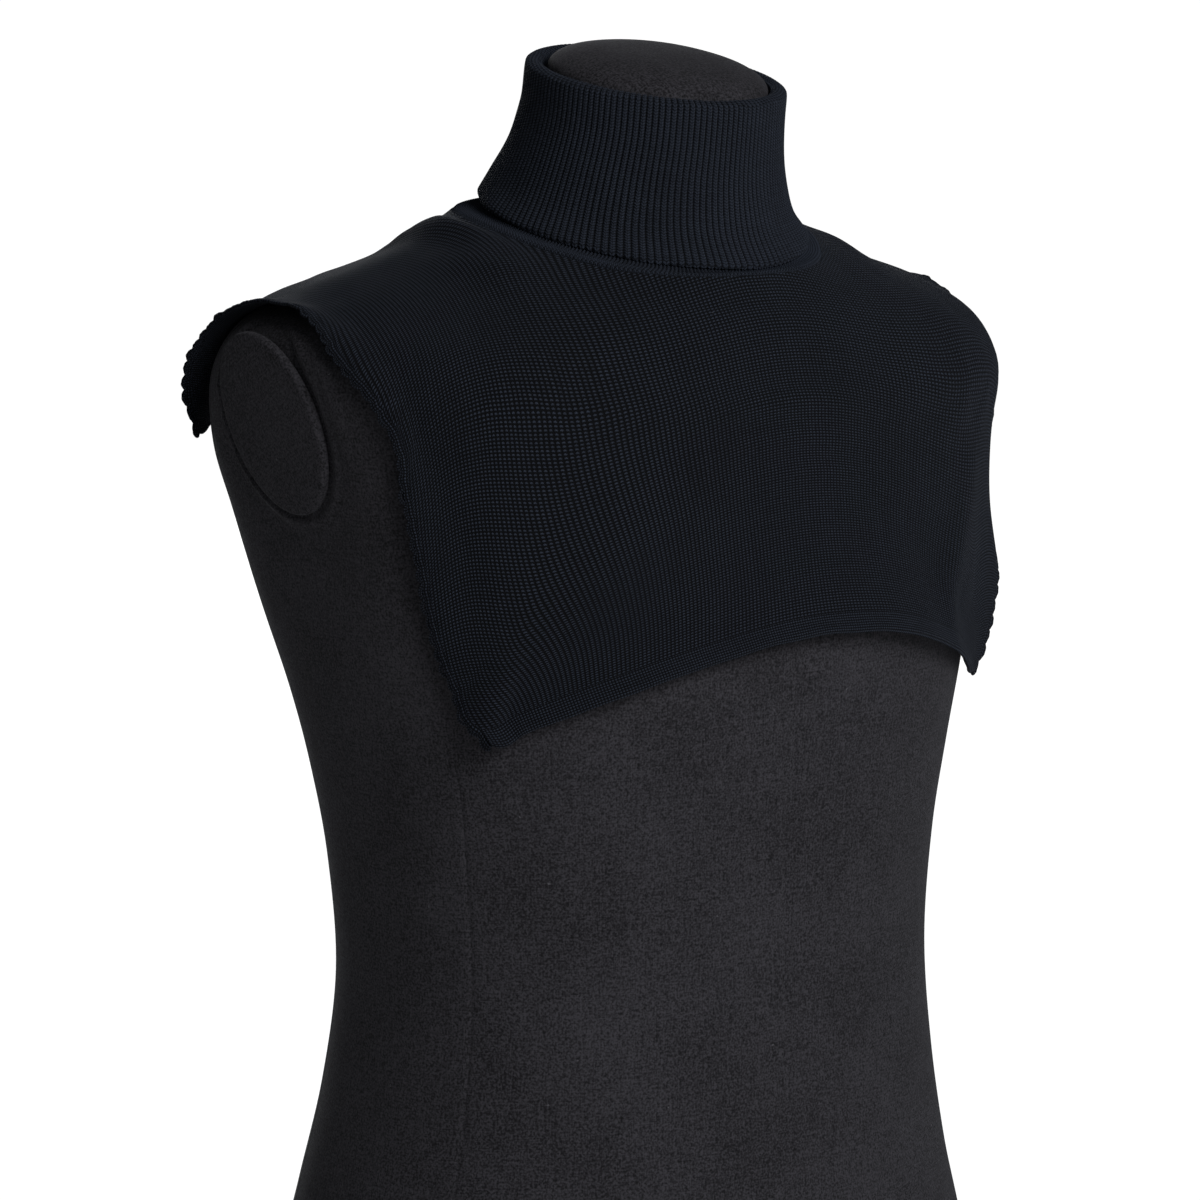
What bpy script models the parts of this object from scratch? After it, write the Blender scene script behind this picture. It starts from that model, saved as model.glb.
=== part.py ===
"""A fine-knit neck warmer with a rib roll collar on a limbless dress form. Metres, +Z up, front at -Y."""

import math
from collections import namedtuple

import bmesh
import bpy
import numpy as np
from mathutils import Vector
from mathutils.bvhtree import BVHTree

# ---------------------------------------------------------------- driving sizes

MIDDLE_DEPTH = 0.0087  # halfway between the foremost and rearmost points, behind the waist's axis
SEAM_GAP = 0.0003  # between pieces that are sewn or laid together
FLAP_WALL = 0.0016
WELT_WALL = 0.0020
EDGING_WALL = 0.0020
COLLAR_WALL = 0.0022
CLOTH_CLEARANCE = 0.0010  # least room between the cloth's inner face and the form
FALL_CLEARANCE = 0.0074  # the collar's fall also clears its own foot
DRAPE_PASSES = 60
LIFT_PASSES = 5
LIFT_SHARES = (0.25, 0.5, 0.75)
TOUCHING = 1e-6  # nearer than this a point lies on the form itself

COLLAR_RIBS = 136
RIB_COLUMNS = 2 * COLLAR_RIBS
PLAIN_COLUMNS = RIB_COLUMNS // 4  # round the collar's plain faces
RIB_DEPTH = 0.0008
FOLD_STEPS = 3

WELT_DEPTH = 0.0100
EDGING_WIDTH = 0.0040
SCALLOP_PITCH = 0.0082
SCALLOP_RISE = 0.0018

FORM_COLUMNS = 44
FORM_ROWS = 32
FLAP_ROWS = 10
FRONT_SIDE_COLUMNS = 13
FRONT_HEM_COLUMNS = 20
BACK_SIDE_COLUMNS = 8
BACK_HEM_COLUMNS = 18
FRONT_END = FRONT_HEM_COLUMNS + 2 * FRONT_SIDE_COLUMNS  # the last column of the front flap
BACK_END = FRONT_END + BACK_HEM_COLUMNS + 2 * BACK_SIDE_COLUMNS

# Rings of the form, from its flat underside to the top of its neck. Front and back are measured from the
# waist's axis, and a ring is widest at its middle. It leans down towards the front by its tilt, and
# squareness 2 is an ellipse.
Ring = namedtuple("Ring", "height half_width front back tilt front_square back_square middle")
FORM_RINGS = (
    Ring(0.000, 0.1890, 0.1300, 0.1420, 0.0, 2.20, 2.20, 0.0000),
    Ring(0.050, 0.1860, 0.1270, 0.1390, 0.0, 2.20, 2.20, 0.0000),
    Ring(0.100, 0.1750, 0.1220, 0.1300, 0.0, 2.15, 2.15, 0.0000),
    Ring(0.150, 0.1640, 0.1165, 0.1200, 0.0, 2.25, 2.10, 0.0000),
    Ring(0.205, 0.1580, 0.1140, 0.1140, 0.0, 2.30, 2.05, 0.0000),
    Ring(0.260, 0.1610, 0.1155, 0.1160, 0.0, 2.35, 2.10, 0.0000),
    Ring(0.305, 0.1680, 0.1190, 0.1230, 0.0, 2.40, 2.15, 0.0000),
    Ring(0.343, 0.1760, 0.1220, 0.1300, 0.0, 2.42, 2.25, 0.0000),
    Ring(0.380, 0.1850, 0.1225, 0.1340, 0.0, 2.40, 2.50, 0.0000),
    Ring(0.428, 0.1950, 0.1200, 0.1340, 0.0, 2.35, 3.00, 0.0000),
    Ring(0.461, 0.2045, 0.1170, 0.1310, 0.0, 2.25, 3.30, 0.0000),
    Ring(0.488, 0.2090, 0.1165, 0.1240, 3.0, 2.25, 3.35, 0.0000),
    Ring(0.506, 0.2055, 0.1140, 0.1150, 7.0, 2.20, 3.00, 0.0000),
    Ring(0.519, 0.1950, 0.1115, 0.1010, 9.0, 2.15, 2.60, 0.0000),
    Ring(0.5275, 0.1780, 0.1090, 0.0900, 9.0, 2.05, 2.10, 0.0000),
    Ring(0.5355, 0.1540, 0.1060, 0.0830, 9.0, 2.00, 2.00, 0.0000),
    Ring(0.5430, 0.1285, 0.1000, 0.0770, 9.0, 2.00, 2.00, 0.0000),
    Ring(0.5520, 0.1000, 0.0905, 0.0700, 10.0, 2.00, 2.00, -0.0030),
    Ring(0.5605, 0.0800, 0.0815, 0.0600, 12.0, 2.00, 2.00, -0.0060),
    Ring(0.5710, 0.0655, 0.0745, 0.0500, 12.0, 2.00, 2.00, -0.0100),
    Ring(0.5880, 0.0570, 0.0695, 0.0415, 12.0, 2.00, 2.00, -0.0140),
    Ring(0.6100, 0.0535, 0.0680, 0.0370, 12.0, 2.00, 2.00, -0.0155),
    Ring(0.6300, 0.0530, 0.0715, 0.0325, 12.0, 2.00, 2.00, -0.0195),
)

# The armhole is a nearly flat oval face on each side, leaning in at its lower end.
ARMHOLE_HALF_SPAN = 0.1990  # from the middle plane to the face, at the plate's centre
ARMHOLE_LEAN = 0.17  # how far the face runs in for each metre down
ARMHOLE_SOFTNESS = 0.005  # roundness of the face's border
ARMHOLE_FOOT = 0.420  # the face's lower end
ARMHOLE_GIVE = 3.0  # how fast the body takes over below it
PLATE_SEAT = 0.0007  # how far the rounded face lies inside its plane
PLATE_HEIGHT = 0.477
PLATE_DEPTH = 0.019  # the plate's centre, behind the waist's axis
PLATE_HALF_LENGTH = 0.0455
PLATE_HALF_WIDTH = 0.0350
PLATE_TURN = math.radians(29)  # the lower end is turned towards the front
PLATE_COLUMNS = 32
CAP_COLUMNS = 36
CAP_OVERHANG = 0.0006
LID_CROWN = 0.0005  # rise of a lid's middle above its last row

# Profiles of the rounded lids: share of the half sizes, and height above the seat.
LidRow = namedtuple("LidRow", "share rise")
PLATE_PROFILE = (
    LidRow(0.970, 0.0000),
    LidRow(1.000, 0.0020),
    LidRow(1.000, 0.0045),
    LidRow(0.965, 0.0072),
    LidRow(0.860, 0.0088),
    LidRow(0.450, 0.0102),
)
CAP_PROFILE = (
    LidRow(0.980, 0.0000),
    LidRow(1.000, 0.0020),
    LidRow(1.000, 0.0080),
    LidRow(0.960, 0.0125),
    LidRow(0.850, 0.0158),
    LidRow(0.450, 0.0185),
)

# The neckline seam lies on the shoulders, from the front round one side to the back.
NecklinePoint = namedtuple("NecklinePoint", "lateral depth height")
NECKLINE = (
    NecklinePoint(0.0000, -0.0925, 0.5410),
    NecklinePoint(0.0350, -0.0862, 0.5418),
    NecklinePoint(0.0645, -0.0655, 0.5450),
    NecklinePoint(0.0830, -0.0380, 0.5530),
    NecklinePoint(0.0905, -0.0080, 0.5612),
    NecklinePoint(0.0880, 0.0210, 0.5665),
    NecklinePoint(0.0715, 0.0480, 0.5680),
    NecklinePoint(0.0400, 0.0670, 0.5690),
    NecklinePoint(0.0000, 0.0735, 0.5700),
)

# The collar's face towards the neck, from the neckline up the stand, and the same face turned outwards, from
# the fold down the fall. A row leans down towards the front by its tilt, and sags at the front and back.
CollarRow = namedtuple("CollarRow", "height half_width half_depth centre_depth tilt sag")
STAND_ROWS = (
    CollarRow(0.5580, 0.0790, 0.0770, -0.0080, 12.0, 0.003),
    CollarRow(0.5720, 0.0670, 0.0665, -0.0095, 13.5, 0.002),
    CollarRow(0.5880, 0.0590, 0.0580, -0.0130, 12.5, 0.000),
    CollarRow(0.6080, 0.0558, 0.0548, -0.0155, 12.0, 0.000),
    CollarRow(0.6310, 0.0560, 0.0555, -0.0190, 11.5, 0.000),
)
FALL_ROWS = (
    CollarRow(0.6310, 0.0628, 0.0622, -0.0190, 11.5, 0.000),
    CollarRow(0.6150, 0.0632, 0.0630, -0.0165, 12.0, 0.000),
    CollarRow(0.5960, 0.0668, 0.0655, -0.0125, 12.5, 0.000),
    CollarRow(0.5785, 0.0725, 0.0720, -0.0090, 13.0, 0.000),
    CollarRow(0.5650, 0.0795, 0.0797, -0.0090, 13.5, 0.001),
)

# The lower edge of each flap above its welt, from the form's right to its left.
HemPoint = namedtuple("HemPoint", "lateral depth height")
FRONT_HEM = (
    HemPoint(-0.156, -0.079, 0.342),
    HemPoint(-0.107, -0.113, 0.3635),
    HemPoint(-0.056, -0.125, 0.3765),
    HemPoint(0.000, -0.129, 0.384),
    HemPoint(0.056, -0.128, 0.381),
    HemPoint(0.107, -0.113, 0.366),
    HemPoint(0.159, -0.077, 0.342),
)
BACK_HEM = (
    HemPoint(0.190, 0.095, 0.474),
    HemPoint(0.128, 0.132, 0.476),
    HemPoint(0.062, 0.142, 0.482),
    HemPoint(0.000, 0.143, 0.485),
    HemPoint(-0.062, 0.142, 0.482),
    HemPoint(-0.128, 0.132, 0.476),
    HemPoint(-0.190, 0.095, 0.474),
)

# The side edges of the flaps, each from its hem's corner up to the shoulder seam.
EdgePoint = namedtuple("EdgePoint", "lateral depth height")
FRONT_RIGHT_EDGE = (
    EdgePoint(-0.156, -0.079, 0.3420),
    EdgePoint(-0.160, -0.069, 0.3620),
    EdgePoint(-0.167, -0.065, 0.3860),
    EdgePoint(-0.176, -0.063, 0.4200),
    EdgePoint(-0.183, -0.061, 0.4550),
    EdgePoint(-0.188, -0.059, 0.4800),
    EdgePoint(-0.192, -0.045, 0.4965),
    EdgePoint(-0.193, -0.028, 0.5065),
    EdgePoint(-0.194, -0.012, 0.5200),
    EdgePoint(-0.194, 0.004, 0.5300),
)
FRONT_LEFT_EDGE = (
    EdgePoint(0.159, -0.077, 0.3420),
    EdgePoint(0.166, -0.077, 0.3600),
    EdgePoint(0.175, -0.074, 0.3860),
    EdgePoint(0.180, -0.063, 0.4060),
    EdgePoint(0.182, -0.055, 0.4220),
    EdgePoint(0.190, -0.052, 0.4530),
    EdgePoint(0.194, -0.052, 0.4780),
    EdgePoint(0.196, -0.038, 0.4980),
    EdgePoint(0.196, -0.018, 0.5160),
    EdgePoint(0.194, 0.000, 0.5245),
)
BACK_LEFT_EDGE = (
    EdgePoint(0.190, 0.095, 0.4740),
    EdgePoint(0.194, 0.093, 0.4940),
    EdgePoint(0.195, 0.079, 0.5090),
    EdgePoint(0.195, 0.062, 0.5200),
    EdgePoint(0.195, 0.034, 0.5270),
    EdgePoint(0.194, 0.000, 0.5245),
)
BACK_RIGHT_EDGE = (
    EdgePoint(-0.190, 0.095, 0.4740),
    EdgePoint(-0.194, 0.093, 0.4950),
    EdgePoint(-0.195, 0.080, 0.5110),
    EdgePoint(-0.195, 0.062, 0.5235),
    EdgePoint(-0.195, 0.034, 0.5310),
    EdgePoint(-0.194, 0.004, 0.5300),
)

# Where the sections through the flaps' corners and the shoulder seams meet the neckline, as shares of its
# half length from the front.
FRONT_CORNER_SHARE = 0.31
SHOULDER_SHARE = 0.53
BACK_CORNER_SHARE = 0.68

# At the neckline seam the cloth looks up, outwards, and a little more outwards towards the front.
SEAM_UPRIGHT = 0.85
SEAM_RADIAL = 0.40
SEAM_FORWARD = 0.15

SHARP_ANGLE = math.radians(40)  # edges that bend more are shaded sharp
CURVE_STEPS = 12  # steps between two rows of a table while its length is measured


# ---------------------------------------------------------------- curves and tables


def between_rows(table, share):
    """The table's values at a share of its rows, on a smooth curve through them."""
    rows = np.asarray(table, float)
    place = min(max(share, 0.0), 1.0) * (len(rows) - 1)
    start = min(int(place), len(rows) - 2)
    step = place - start
    before = rows[start - 1] if start > 0 else 2 * rows[0] - rows[1]
    after = rows[start + 2] if start + 2 < len(rows) else 2 * rows[-1] - rows[-2]
    leave = (rows[start + 1] - before) / 2
    arrive = (after - rows[start]) / 2
    rise = rows[start + 1] - rows[start]
    return (
        rows[start]
        + leave * step
        + (3 * rise - 2 * leave - arrive) * step**2
        + (leave + arrive - 2 * rise) * step**3
    )


def even_shares(table, count, columns):
    """Shares of the table that lie at even distances along its curve, measured in the given columns."""
    fine = np.linspace(0.0, 1.0, CURVE_STEPS * len(table))
    places = np.array([between_rows(table, share)[list(columns)] for share in fine])
    run = np.concatenate([[0.0], np.cumsum(np.linalg.norm(np.diff(places, axis=0), axis=1))])
    return np.interp(np.linspace(0.0, run[-1], count), run, fine)


def signed_power(value, power):
    """The size of the value raised to the power, with the value's sign."""
    return math.copysign(abs(value) ** power, value)


def ring_point(ring, angle):
    """A point of a ring, at an angle from the front that grows towards +X."""
    forward = math.cos(angle) > 0
    power = 2.0 / (ring.front_square if forward else ring.back_square)
    lateral = ring.half_width * signed_power(math.sin(angle), power)
    half_depth = ring.front + ring.middle if forward else ring.back - ring.middle
    depth = ring.middle - half_depth * signed_power(math.cos(angle), power)
    lean = math.radians(ring.tilt)
    return Vector((lateral, depth * math.cos(lean), ring.height + depth * math.sin(lean)))


def armhole_limit(height):
    """How far the armhole's face lies from the middle plane. Below the armhole it gives way to the body."""
    below = max(0.0, ARMHOLE_FOOT - height)
    return ARMHOLE_HALF_SPAN + ARMHOLE_LEAN * (height - PLATE_HEIGHT) + ARMHOLE_GIVE * below**2


def flatten_armhole(point):
    """Keeps a point of the form inside its armhole faces, with a rounded border."""
    limit = armhole_limit(point.z)
    reach = abs(point.x)
    spread = math.hypot(limit - reach, ARMHOLE_SOFTNESS)
    point.x = math.copysign(max(0.0, (limit + reach - spread) / 2), point.x)
    return point


# ---------------------------------------------------------------- meshes


def loft(rings):
    """(points, faces) of a body through closed rings of equal length, with flat ends."""
    count = len(rings[0])
    points = [point for ring in rings for point in ring]
    faces = []
    for row in range(len(rings) - 1):
        for column in range(count):
            following = (column + 1) % count
            faces.append(
                (
                    row * count + column,
                    row * count + following,
                    (row + 1) * count + following,
                    (row + 1) * count + column,
                )
            )
    points += [sum(rings[0], Vector()) / count, sum(rings[-1], Vector()) / count]
    top = (len(rings) - 1) * count
    for column in range(count):
        following = (column + 1) % count
        faces.append((len(points) - 2, following, column))
        faces.append((len(points) - 1, top + column, top + following))
    return points, faces


def surface_normals(grid, closed=False):
    """Unit normals of a grid of rows: they point outwards where the rows run downwards."""
    cells = np.array([[tuple(point) for point in row] for row in grid])
    along = np.gradient(cells, axis=0)
    if closed:
        across = (np.roll(cells, -1, axis=1) - np.roll(cells, 1, axis=1)) / 2
    else:
        across = np.gradient(cells, axis=1)
    normals = np.cross(along, across)
    normals /= np.linalg.norm(normals, axis=2, keepdims=True)
    return [[Vector(normal) for normal in row] for row in normals]


def sheet_wall(grid, normals, thickness):
    """(points, faces) of a wall on an open grid, its inner face, with its outer face along the normals."""
    rows, columns = len(grid), len(grid[0])
    inner = [point for row in grid for point in row]
    outer = [
        point + normal * thickness
        for row, normal_row in zip(grid, normals)
        for point, normal in zip(row, normal_row)
    ]
    size = rows * columns
    faces = []
    for row in range(rows - 1):
        for column in range(columns - 1):
            corner = row * columns + column
            patch = (corner, corner + 1, corner + columns + 1, corner + columns)
            faces.append(tuple(reversed(patch)))
            faces.append(tuple(size + index for index in patch))
    border = (
        [column for column in range(columns)]
        + [row * columns + columns - 1 for row in range(1, rows)]
        + [(rows - 1) * columns + column for column in range(columns - 2, -1, -1)]
        + [row * columns for row in range(rows - 2, 0, -1)]
    )
    for here, there in zip(border, border[1:] + border[:1]):
        faces.append((here, there, size + there, size + here))
    return inner + outer, faces


def bridge(coarse_start, coarse_count, fine_start, fine_count):
    """Faces between a ring of few points and a ring of a multiple of them."""
    ratio = fine_count // coarse_count
    faces = []
    for step in range(coarse_count):
        here = coarse_start + step
        there = coarse_start + (step + 1) % coarse_count
        fine = [fine_start + (step * ratio + part) % fine_count for part in range(ratio + 1)]
        half = ratio // 2
        faces += [(here, fine[part], fine[part + 1]) for part in range(half)]
        faces.append((here, fine[half], there))
        faces += [(there, fine[part], fine[part + 1]) for part in range(half, ratio)]
    return faces


def tube_wall(rings):
    """(points, faces) of a body made of rings, each joined to the next and the last to the first."""
    points = [point for ring in rings for point in ring]
    starts = np.concatenate([[0], np.cumsum([len(ring) for ring in rings])]).tolist()
    faces = []
    for index, ring in enumerate(rings):
        following = (index + 1) % len(rings)
        here, there = (starts[index], len(ring)), (starts[following], len(rings[following]))
        if here[1] == there[1]:
            for column in range(here[1]):
                after = (column + 1) % here[1]
                faces.append((here[0] + column, here[0] + after, there[0] + after, there[0] + column))
        elif here[1] < there[1]:
            faces += bridge(*here, *there)
        else:
            faces += bridge(*there, *here)
    return points, faces


def material(name, colour, roughness):
    """A plain material of one colour."""
    made = bpy.data.materials.new(name)
    made.use_nodes = True
    shader = made.node_tree.nodes["Principled BSDF"]
    shader.inputs["Base Color"].default_value = (*colour, 1.0)
    shader.inputs["Roughness"].default_value = roughness
    made.diffuse_color = (*colour, 1.0)
    return made


def add_object(name, points, faces, finish, parent):
    """An object of the given mesh, with its faces turned outwards."""
    mesh = bpy.data.meshes.new(name)
    mesh.from_pydata([tuple(point) for point in points], [], faces)
    shape = bmesh.new()
    shape.from_mesh(mesh)
    bmesh.ops.recalc_face_normals(shape, faces=shape.faces)
    shape.to_mesh(mesh)
    shape.free()
    mesh.shade_smooth()
    mesh.set_sharp_from_angle(angle=SHARP_ANGLE)
    mesh.materials.append(finish)
    made = bpy.data.objects.new(name, mesh)
    made.parent = parent
    bpy.context.scene.collection.objects.link(made)
    return made


# ---------------------------------------------------------------- the dress form


def form_rings():
    """The torso's rings of points, from its underside to the top of its neck."""
    profile = [
        Ring(*between_rows(FORM_RINGS, share)) for share in even_shares(FORM_RINGS, FORM_ROWS, (0, 1))
    ]
    turns = [2 * math.pi * column / FORM_COLUMNS for column in range(FORM_COLUMNS)]
    return [[flatten_armhole(ring_point(ring, turn)) for turn in turns] for ring in profile]


def form_tree(points, faces):
    """A search tree of the form's surface, for laying cloth on it."""
    return BVHTree.FromPolygons([tuple(point) for point in points], faces)


def clear_of_form(point, tree, clearance):
    """The point, moved out to the clearance where it lies nearer to the form or inside it."""
    nearest, normal, _, distance = tree.find_nearest(point)
    away = point - nearest
    signed = distance if away.dot(normal) >= 0 else -distance
    if signed >= clearance:
        return point
    direction = away.normalized() * math.copysign(1.0, signed) if distance > TOUCHING else normal
    return nearest + direction * clearance


def lid(profile, seat_centre, length_axis, width_axis, outward, half_length, half_width, columns):
    """(points, faces) of a rounded oval lid on a flat seat."""
    rings = []
    for row in profile:
        ring = []
        for column in range(columns):
            turn = 2 * math.pi * column / columns
            ring.append(
                seat_centre
                + width_axis * (half_width * row.share * math.sin(turn))
                + length_axis * (half_length * row.share * math.cos(turn))
                + outward * row.rise
            )
        rings.append(ring)
    points, faces = loft(rings)
    points[-1] = seat_centre + outward * (profile[-1].rise + LID_CROWN)
    return points, faces


def build_armhole_plate(side, finish, parent):
    """A plate on the armhole face. Side is -1 for the form's right and 1 for its left."""
    up = Vector((side * ARMHOLE_LEAN, 0.0, 1.0)).normalized()
    outward = Vector((side * 1.0, 0.0, -ARMHOLE_LEAN)).normalized()
    back = Vector((0.0, 1.0, 0.0))
    length_axis = up * math.cos(PLATE_TURN) + back * math.sin(PLATE_TURN)
    width_axis = back * math.cos(PLATE_TURN) - up * math.sin(PLATE_TURN)
    centre = Vector((side * armhole_limit(PLATE_HEIGHT), PLATE_DEPTH, PLATE_HEIGHT))
    points, faces = lid(
        PLATE_PROFILE,
        centre + outward * (SEAM_GAP - PLATE_SEAT),
        length_axis,
        width_axis,
        outward,
        PLATE_HALF_LENGTH,
        PLATE_HALF_WIDTH,
        PLATE_COLUMNS,
    )
    name = "form_armhole_plate_right" if side < 0 else "form_armhole_plate_left"
    return add_object(name, points, faces, finish, parent)


def build_neck_cap(finish, parent):
    """The lid on the neck stump, which slopes down to the front."""
    top = FORM_RINGS[-1]
    lean = math.radians(top.tilt)
    middle = (top.back - top.front) / 2
    outward = Vector((0.0, -math.sin(lean), math.cos(lean)))
    length_axis = Vector((0.0, math.cos(lean), math.sin(lean)))
    centre = Vector((0.0, middle * math.cos(lean), top.height + middle * math.sin(lean)))
    points, faces = lid(
        CAP_PROFILE,
        centre + outward * SEAM_GAP,
        length_axis,
        Vector((1.0, 0.0, 0.0)),
        outward,
        (top.front + top.back) / 2 + CAP_OVERHANG,
        top.half_width + CAP_OVERHANG,
        CAP_COLUMNS,
    )
    return add_object("form_neck_cap", points, faces, finish, parent)


# ---------------------------------------------------------------- the flaps


def evenly_on(table, count):
    """Points at even distances on the smooth curve through a table of points."""
    return [
        Vector(between_rows(table, share))
        for share in even_shares(table, count, (0, 1, 2))
    ]


def flap_border():
    """The outer border of both flaps, round from the right shoulder seam by the front to the same seam."""
    return (
        evenly_on(FRONT_RIGHT_EDGE, FRONT_SIDE_COLUMNS + 1)[::-1][:-1]
        + evenly_on(FRONT_HEM, FRONT_HEM_COLUMNS + 1)[:-1]
        + evenly_on(FRONT_LEFT_EDGE, FRONT_SIDE_COLUMNS + 1)[:-1]
        + evenly_on(BACK_LEFT_EDGE, BACK_SIDE_COLUMNS + 1)[::-1][:-1]
        + evenly_on(BACK_HEM, BACK_HEM_COLUMNS + 1)[:-1]
        + evenly_on(BACK_RIGHT_EDGE, BACK_SIDE_COLUMNS + 1)[:-1]
    )


def neckline_point(share):
    """A point of the neckline, at a share of its half length from the front that grows towards +X."""
    turns = share % 2.0
    along = min(turns, 2.0 - turns)
    lateral, depth, height = between_rows(NECKLINE, along)
    return Vector((lateral if turns <= 1.0 else -lateral, depth, height))


def seam_direction(share):
    """The way the cloth's outer face looks along the neckline seam: more forward at the front."""
    forward = math.cos(math.pi * share)
    radial = Vector((math.sin(math.pi * share), -forward, 0.0))
    outward = SEAM_RADIAL + SEAM_FORWARD * (forward + forward**2)
    return (radial * outward + Vector((0.0, 0.0, SEAM_UPRIGHT))).normalized()


def neckline_shares():
    """Where each section of the flaps meets the neckline, in the border's order."""
    stops = (
        (-SHOULDER_SHARE, FRONT_SIDE_COLUMNS),
        (-FRONT_CORNER_SHARE, FRONT_HEM_COLUMNS),
        (FRONT_CORNER_SHARE, FRONT_SIDE_COLUMNS),
        (SHOULDER_SHARE, BACK_SIDE_COLUMNS),
        (BACK_CORNER_SHARE, BACK_HEM_COLUMNS),
        (2 - BACK_CORNER_SHARE, BACK_SIDE_COLUMNS),
    )
    ends = [share for share, _ in stops[1:]] + [2 - SHOULDER_SHARE]
    shares = []
    for (start, count), end in zip(stops, ends):
        shares += [start + (end - start) * step / count for step in range(count)]
    return shares


def drape(grid, tree):
    """Draws the inside of a closed grid taut between its border rows, always clear of the form."""
    cells = np.array([[tuple(point) for point in row] for row in grid])
    for _ in range(DRAPE_PASSES):
        beside = np.roll(cells, 1, axis=1) + np.roll(cells, -1, axis=1)
        cells[1:-1] = (cells[:-2] + cells[2:] + beside[1:-1]) / 4
        for row in range(1, len(cells) - 1):
            for column in range(len(cells[row])):
                point = Vector(cells[row, column])
                cells[row, column] = clear_of_form(point, tree, CLOTH_CLEARANCE)
    for _ in range(LIFT_PASSES):
        lift_between(cells, tree)
    return [[Vector(cell) for cell in row] for row in cells]


def lift_between(cells, tree):
    """Moves the points of a closed grid out where the cloth between them comes too near to the form."""
    rows, columns = cells.shape[:2]
    for row in range(rows - 1):
        for column in range(columns):
            after = (column + 1) % columns
            across = ((row, column), (row, after))
            along = ((row, column), (row + 1, column))
            slant = ((row, column), (row + 1, after))
            counter = ((row, after), (row + 1, column))
            for start, end in (across, along, slant, counter):
                for share in LIFT_SHARES:
                    between = Vector(cells[start] * (1 - share) + cells[end] * share)
                    shift = np.array(clear_of_form(between, tree, CLOTH_CLEARANCE) - between)
                    cells[start] += shift
                    cells[end] += shift


def flap_grid(tree):
    """The inner face of both flaps: sections from the neckline to the border, laid over the form."""
    border = [clear_of_form(point, tree, CLOTH_CLEARANCE) for point in flap_border()]
    neckline = [
        clear_of_form(neckline_point(share), tree, CLOTH_CLEARANCE)
        for share in neckline_shares()
    ]
    grid = [
        [start.lerp(end, row / FLAP_ROWS) for start, end in zip(neckline, border)]
        for row in range(FLAP_ROWS + 1)
    ]
    return drape(grid, tree)


def columns_of(grid, first, last):
    """The grid's columns from first to last, both included, counted round the closed grid."""
    count = len(grid[0])
    return [[row[column % count] for column in range(first, last + 1)] for row in grid]


def part_at_seams(panel):
    """Draws a panel's two end columns in, so that it stays clear of its neighbour at the shoulder seams."""
    for row in panel:
        row[0] = row[0] + (row[1] - row[0]).normalized() * SEAM_GAP
        row[-1] = row[-1] + (row[-2] - row[-1]).normalized() * SEAM_GAP
    return panel


def border_frames(panel, normals, first, last):
    """(point, outward direction along the cloth, normal) at a panel's border points from first to last."""
    frames = []
    line = [panel[-1][column] for column in range(first, last + 1)]
    before = [panel[-2][column] for column in range(first, last + 1)]
    for index, (point, inside) in enumerate(zip(line, before)):
        ahead = line[min(index + 1, len(line) - 1)]
        behind = line[max(index - 1, 0)]
        run = (ahead - behind).normalized()
        outward = point - inside
        outward = (outward - run * outward.dot(run)).normalized()
        frames.append((point, outward, normals[-1][first + index]))
    return frames


def build_welt(name, panel, normals, side_columns, hem_columns, finish, parent):
    """The knitted welt below a flap. It also returns its two lower corners, for the side edgings."""
    frames = border_frames(panel, normals, side_columns, side_columns + hem_columns)
    grid = [
        [point + outward * reach for point, outward, _ in frames]
        for reach in (SEAM_GAP, WELT_DEPTH / 2, WELT_DEPTH)
    ]
    grid_normals = [[normal for _, _, normal in frames] for _ in grid]
    points, faces = sheet_wall(grid, grid_normals, WELT_WALL)
    add_object(name, points, faces, finish, parent)
    return grid[-1][0], grid[-1][-1]


def build_edging(name, frames, finish, parent):
    """A scalloped edging outside a line of border frames."""
    stations = []
    for (here, out_here, up_here), (there, out_there, up_there) in zip(frames, frames[1:]):
        steps = max(1, round(2 * (there - here).length / SCALLOP_PITCH))
        for step in range(steps):
            share = step / steps
            stations.append(
                (
                    here.lerp(there, share),
                    out_here.lerp(out_there, share).normalized(),
                    up_here.lerp(up_there, share).normalized(),
                )
            )
    stations.append(frames[-1])
    inner, outer = [], []
    for index, (point, outward, _) in enumerate(stations):
        rise = SCALLOP_RISE * (index % 2)
        inner.append(point + outward * SEAM_GAP)
        outer.append(point + outward * (SEAM_GAP + EDGING_WIDTH + rise))
    normals = [normal for _, _, normal in stations]
    points, faces = sheet_wall([inner, outer], [normals, normals], EDGING_WALL)
    add_object(name, points, faces, finish, parent)


# ---------------------------------------------------------------- the roll collar


def collar_ring(row, columns, tree, clearance):
    """One ring of the collar's face, kept clear of the form."""
    lean = math.radians(row.tilt)
    ring = []
    for column in range(columns):
        turn = 2 * math.pi * column / columns
        depth = -row.half_depth * math.cos(turn)
        point = Vector(
            (
                row.half_width * math.sin(turn),
                row.centre_depth + depth * math.cos(lean),
                row.height + depth * math.sin(lean) - row.sag * math.cos(turn) ** 2,
            )
        )
        ring.append(clear_of_form(point, tree, clearance))
    return ring


def fold_rows():
    """Rows of the half circle that carries the stand's top over to the fall's top."""
    start, end = STAND_ROWS[-1], FALL_ROWS[0]
    radius = (end.half_width - start.half_width) / 2
    rows = []
    for step in range(1, FOLD_STEPS + 1):
        turn = math.pi * step / (FOLD_STEPS + 1)
        out = radius * (1 - math.cos(turn))
        rows.append(
            CollarRow(
                start.height + radius * math.sin(turn),
                start.half_width + out,
                start.half_depth + out,
                start.centre_depth,
                start.tilt,
                start.sag,
            )
        )
    return rows


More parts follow.
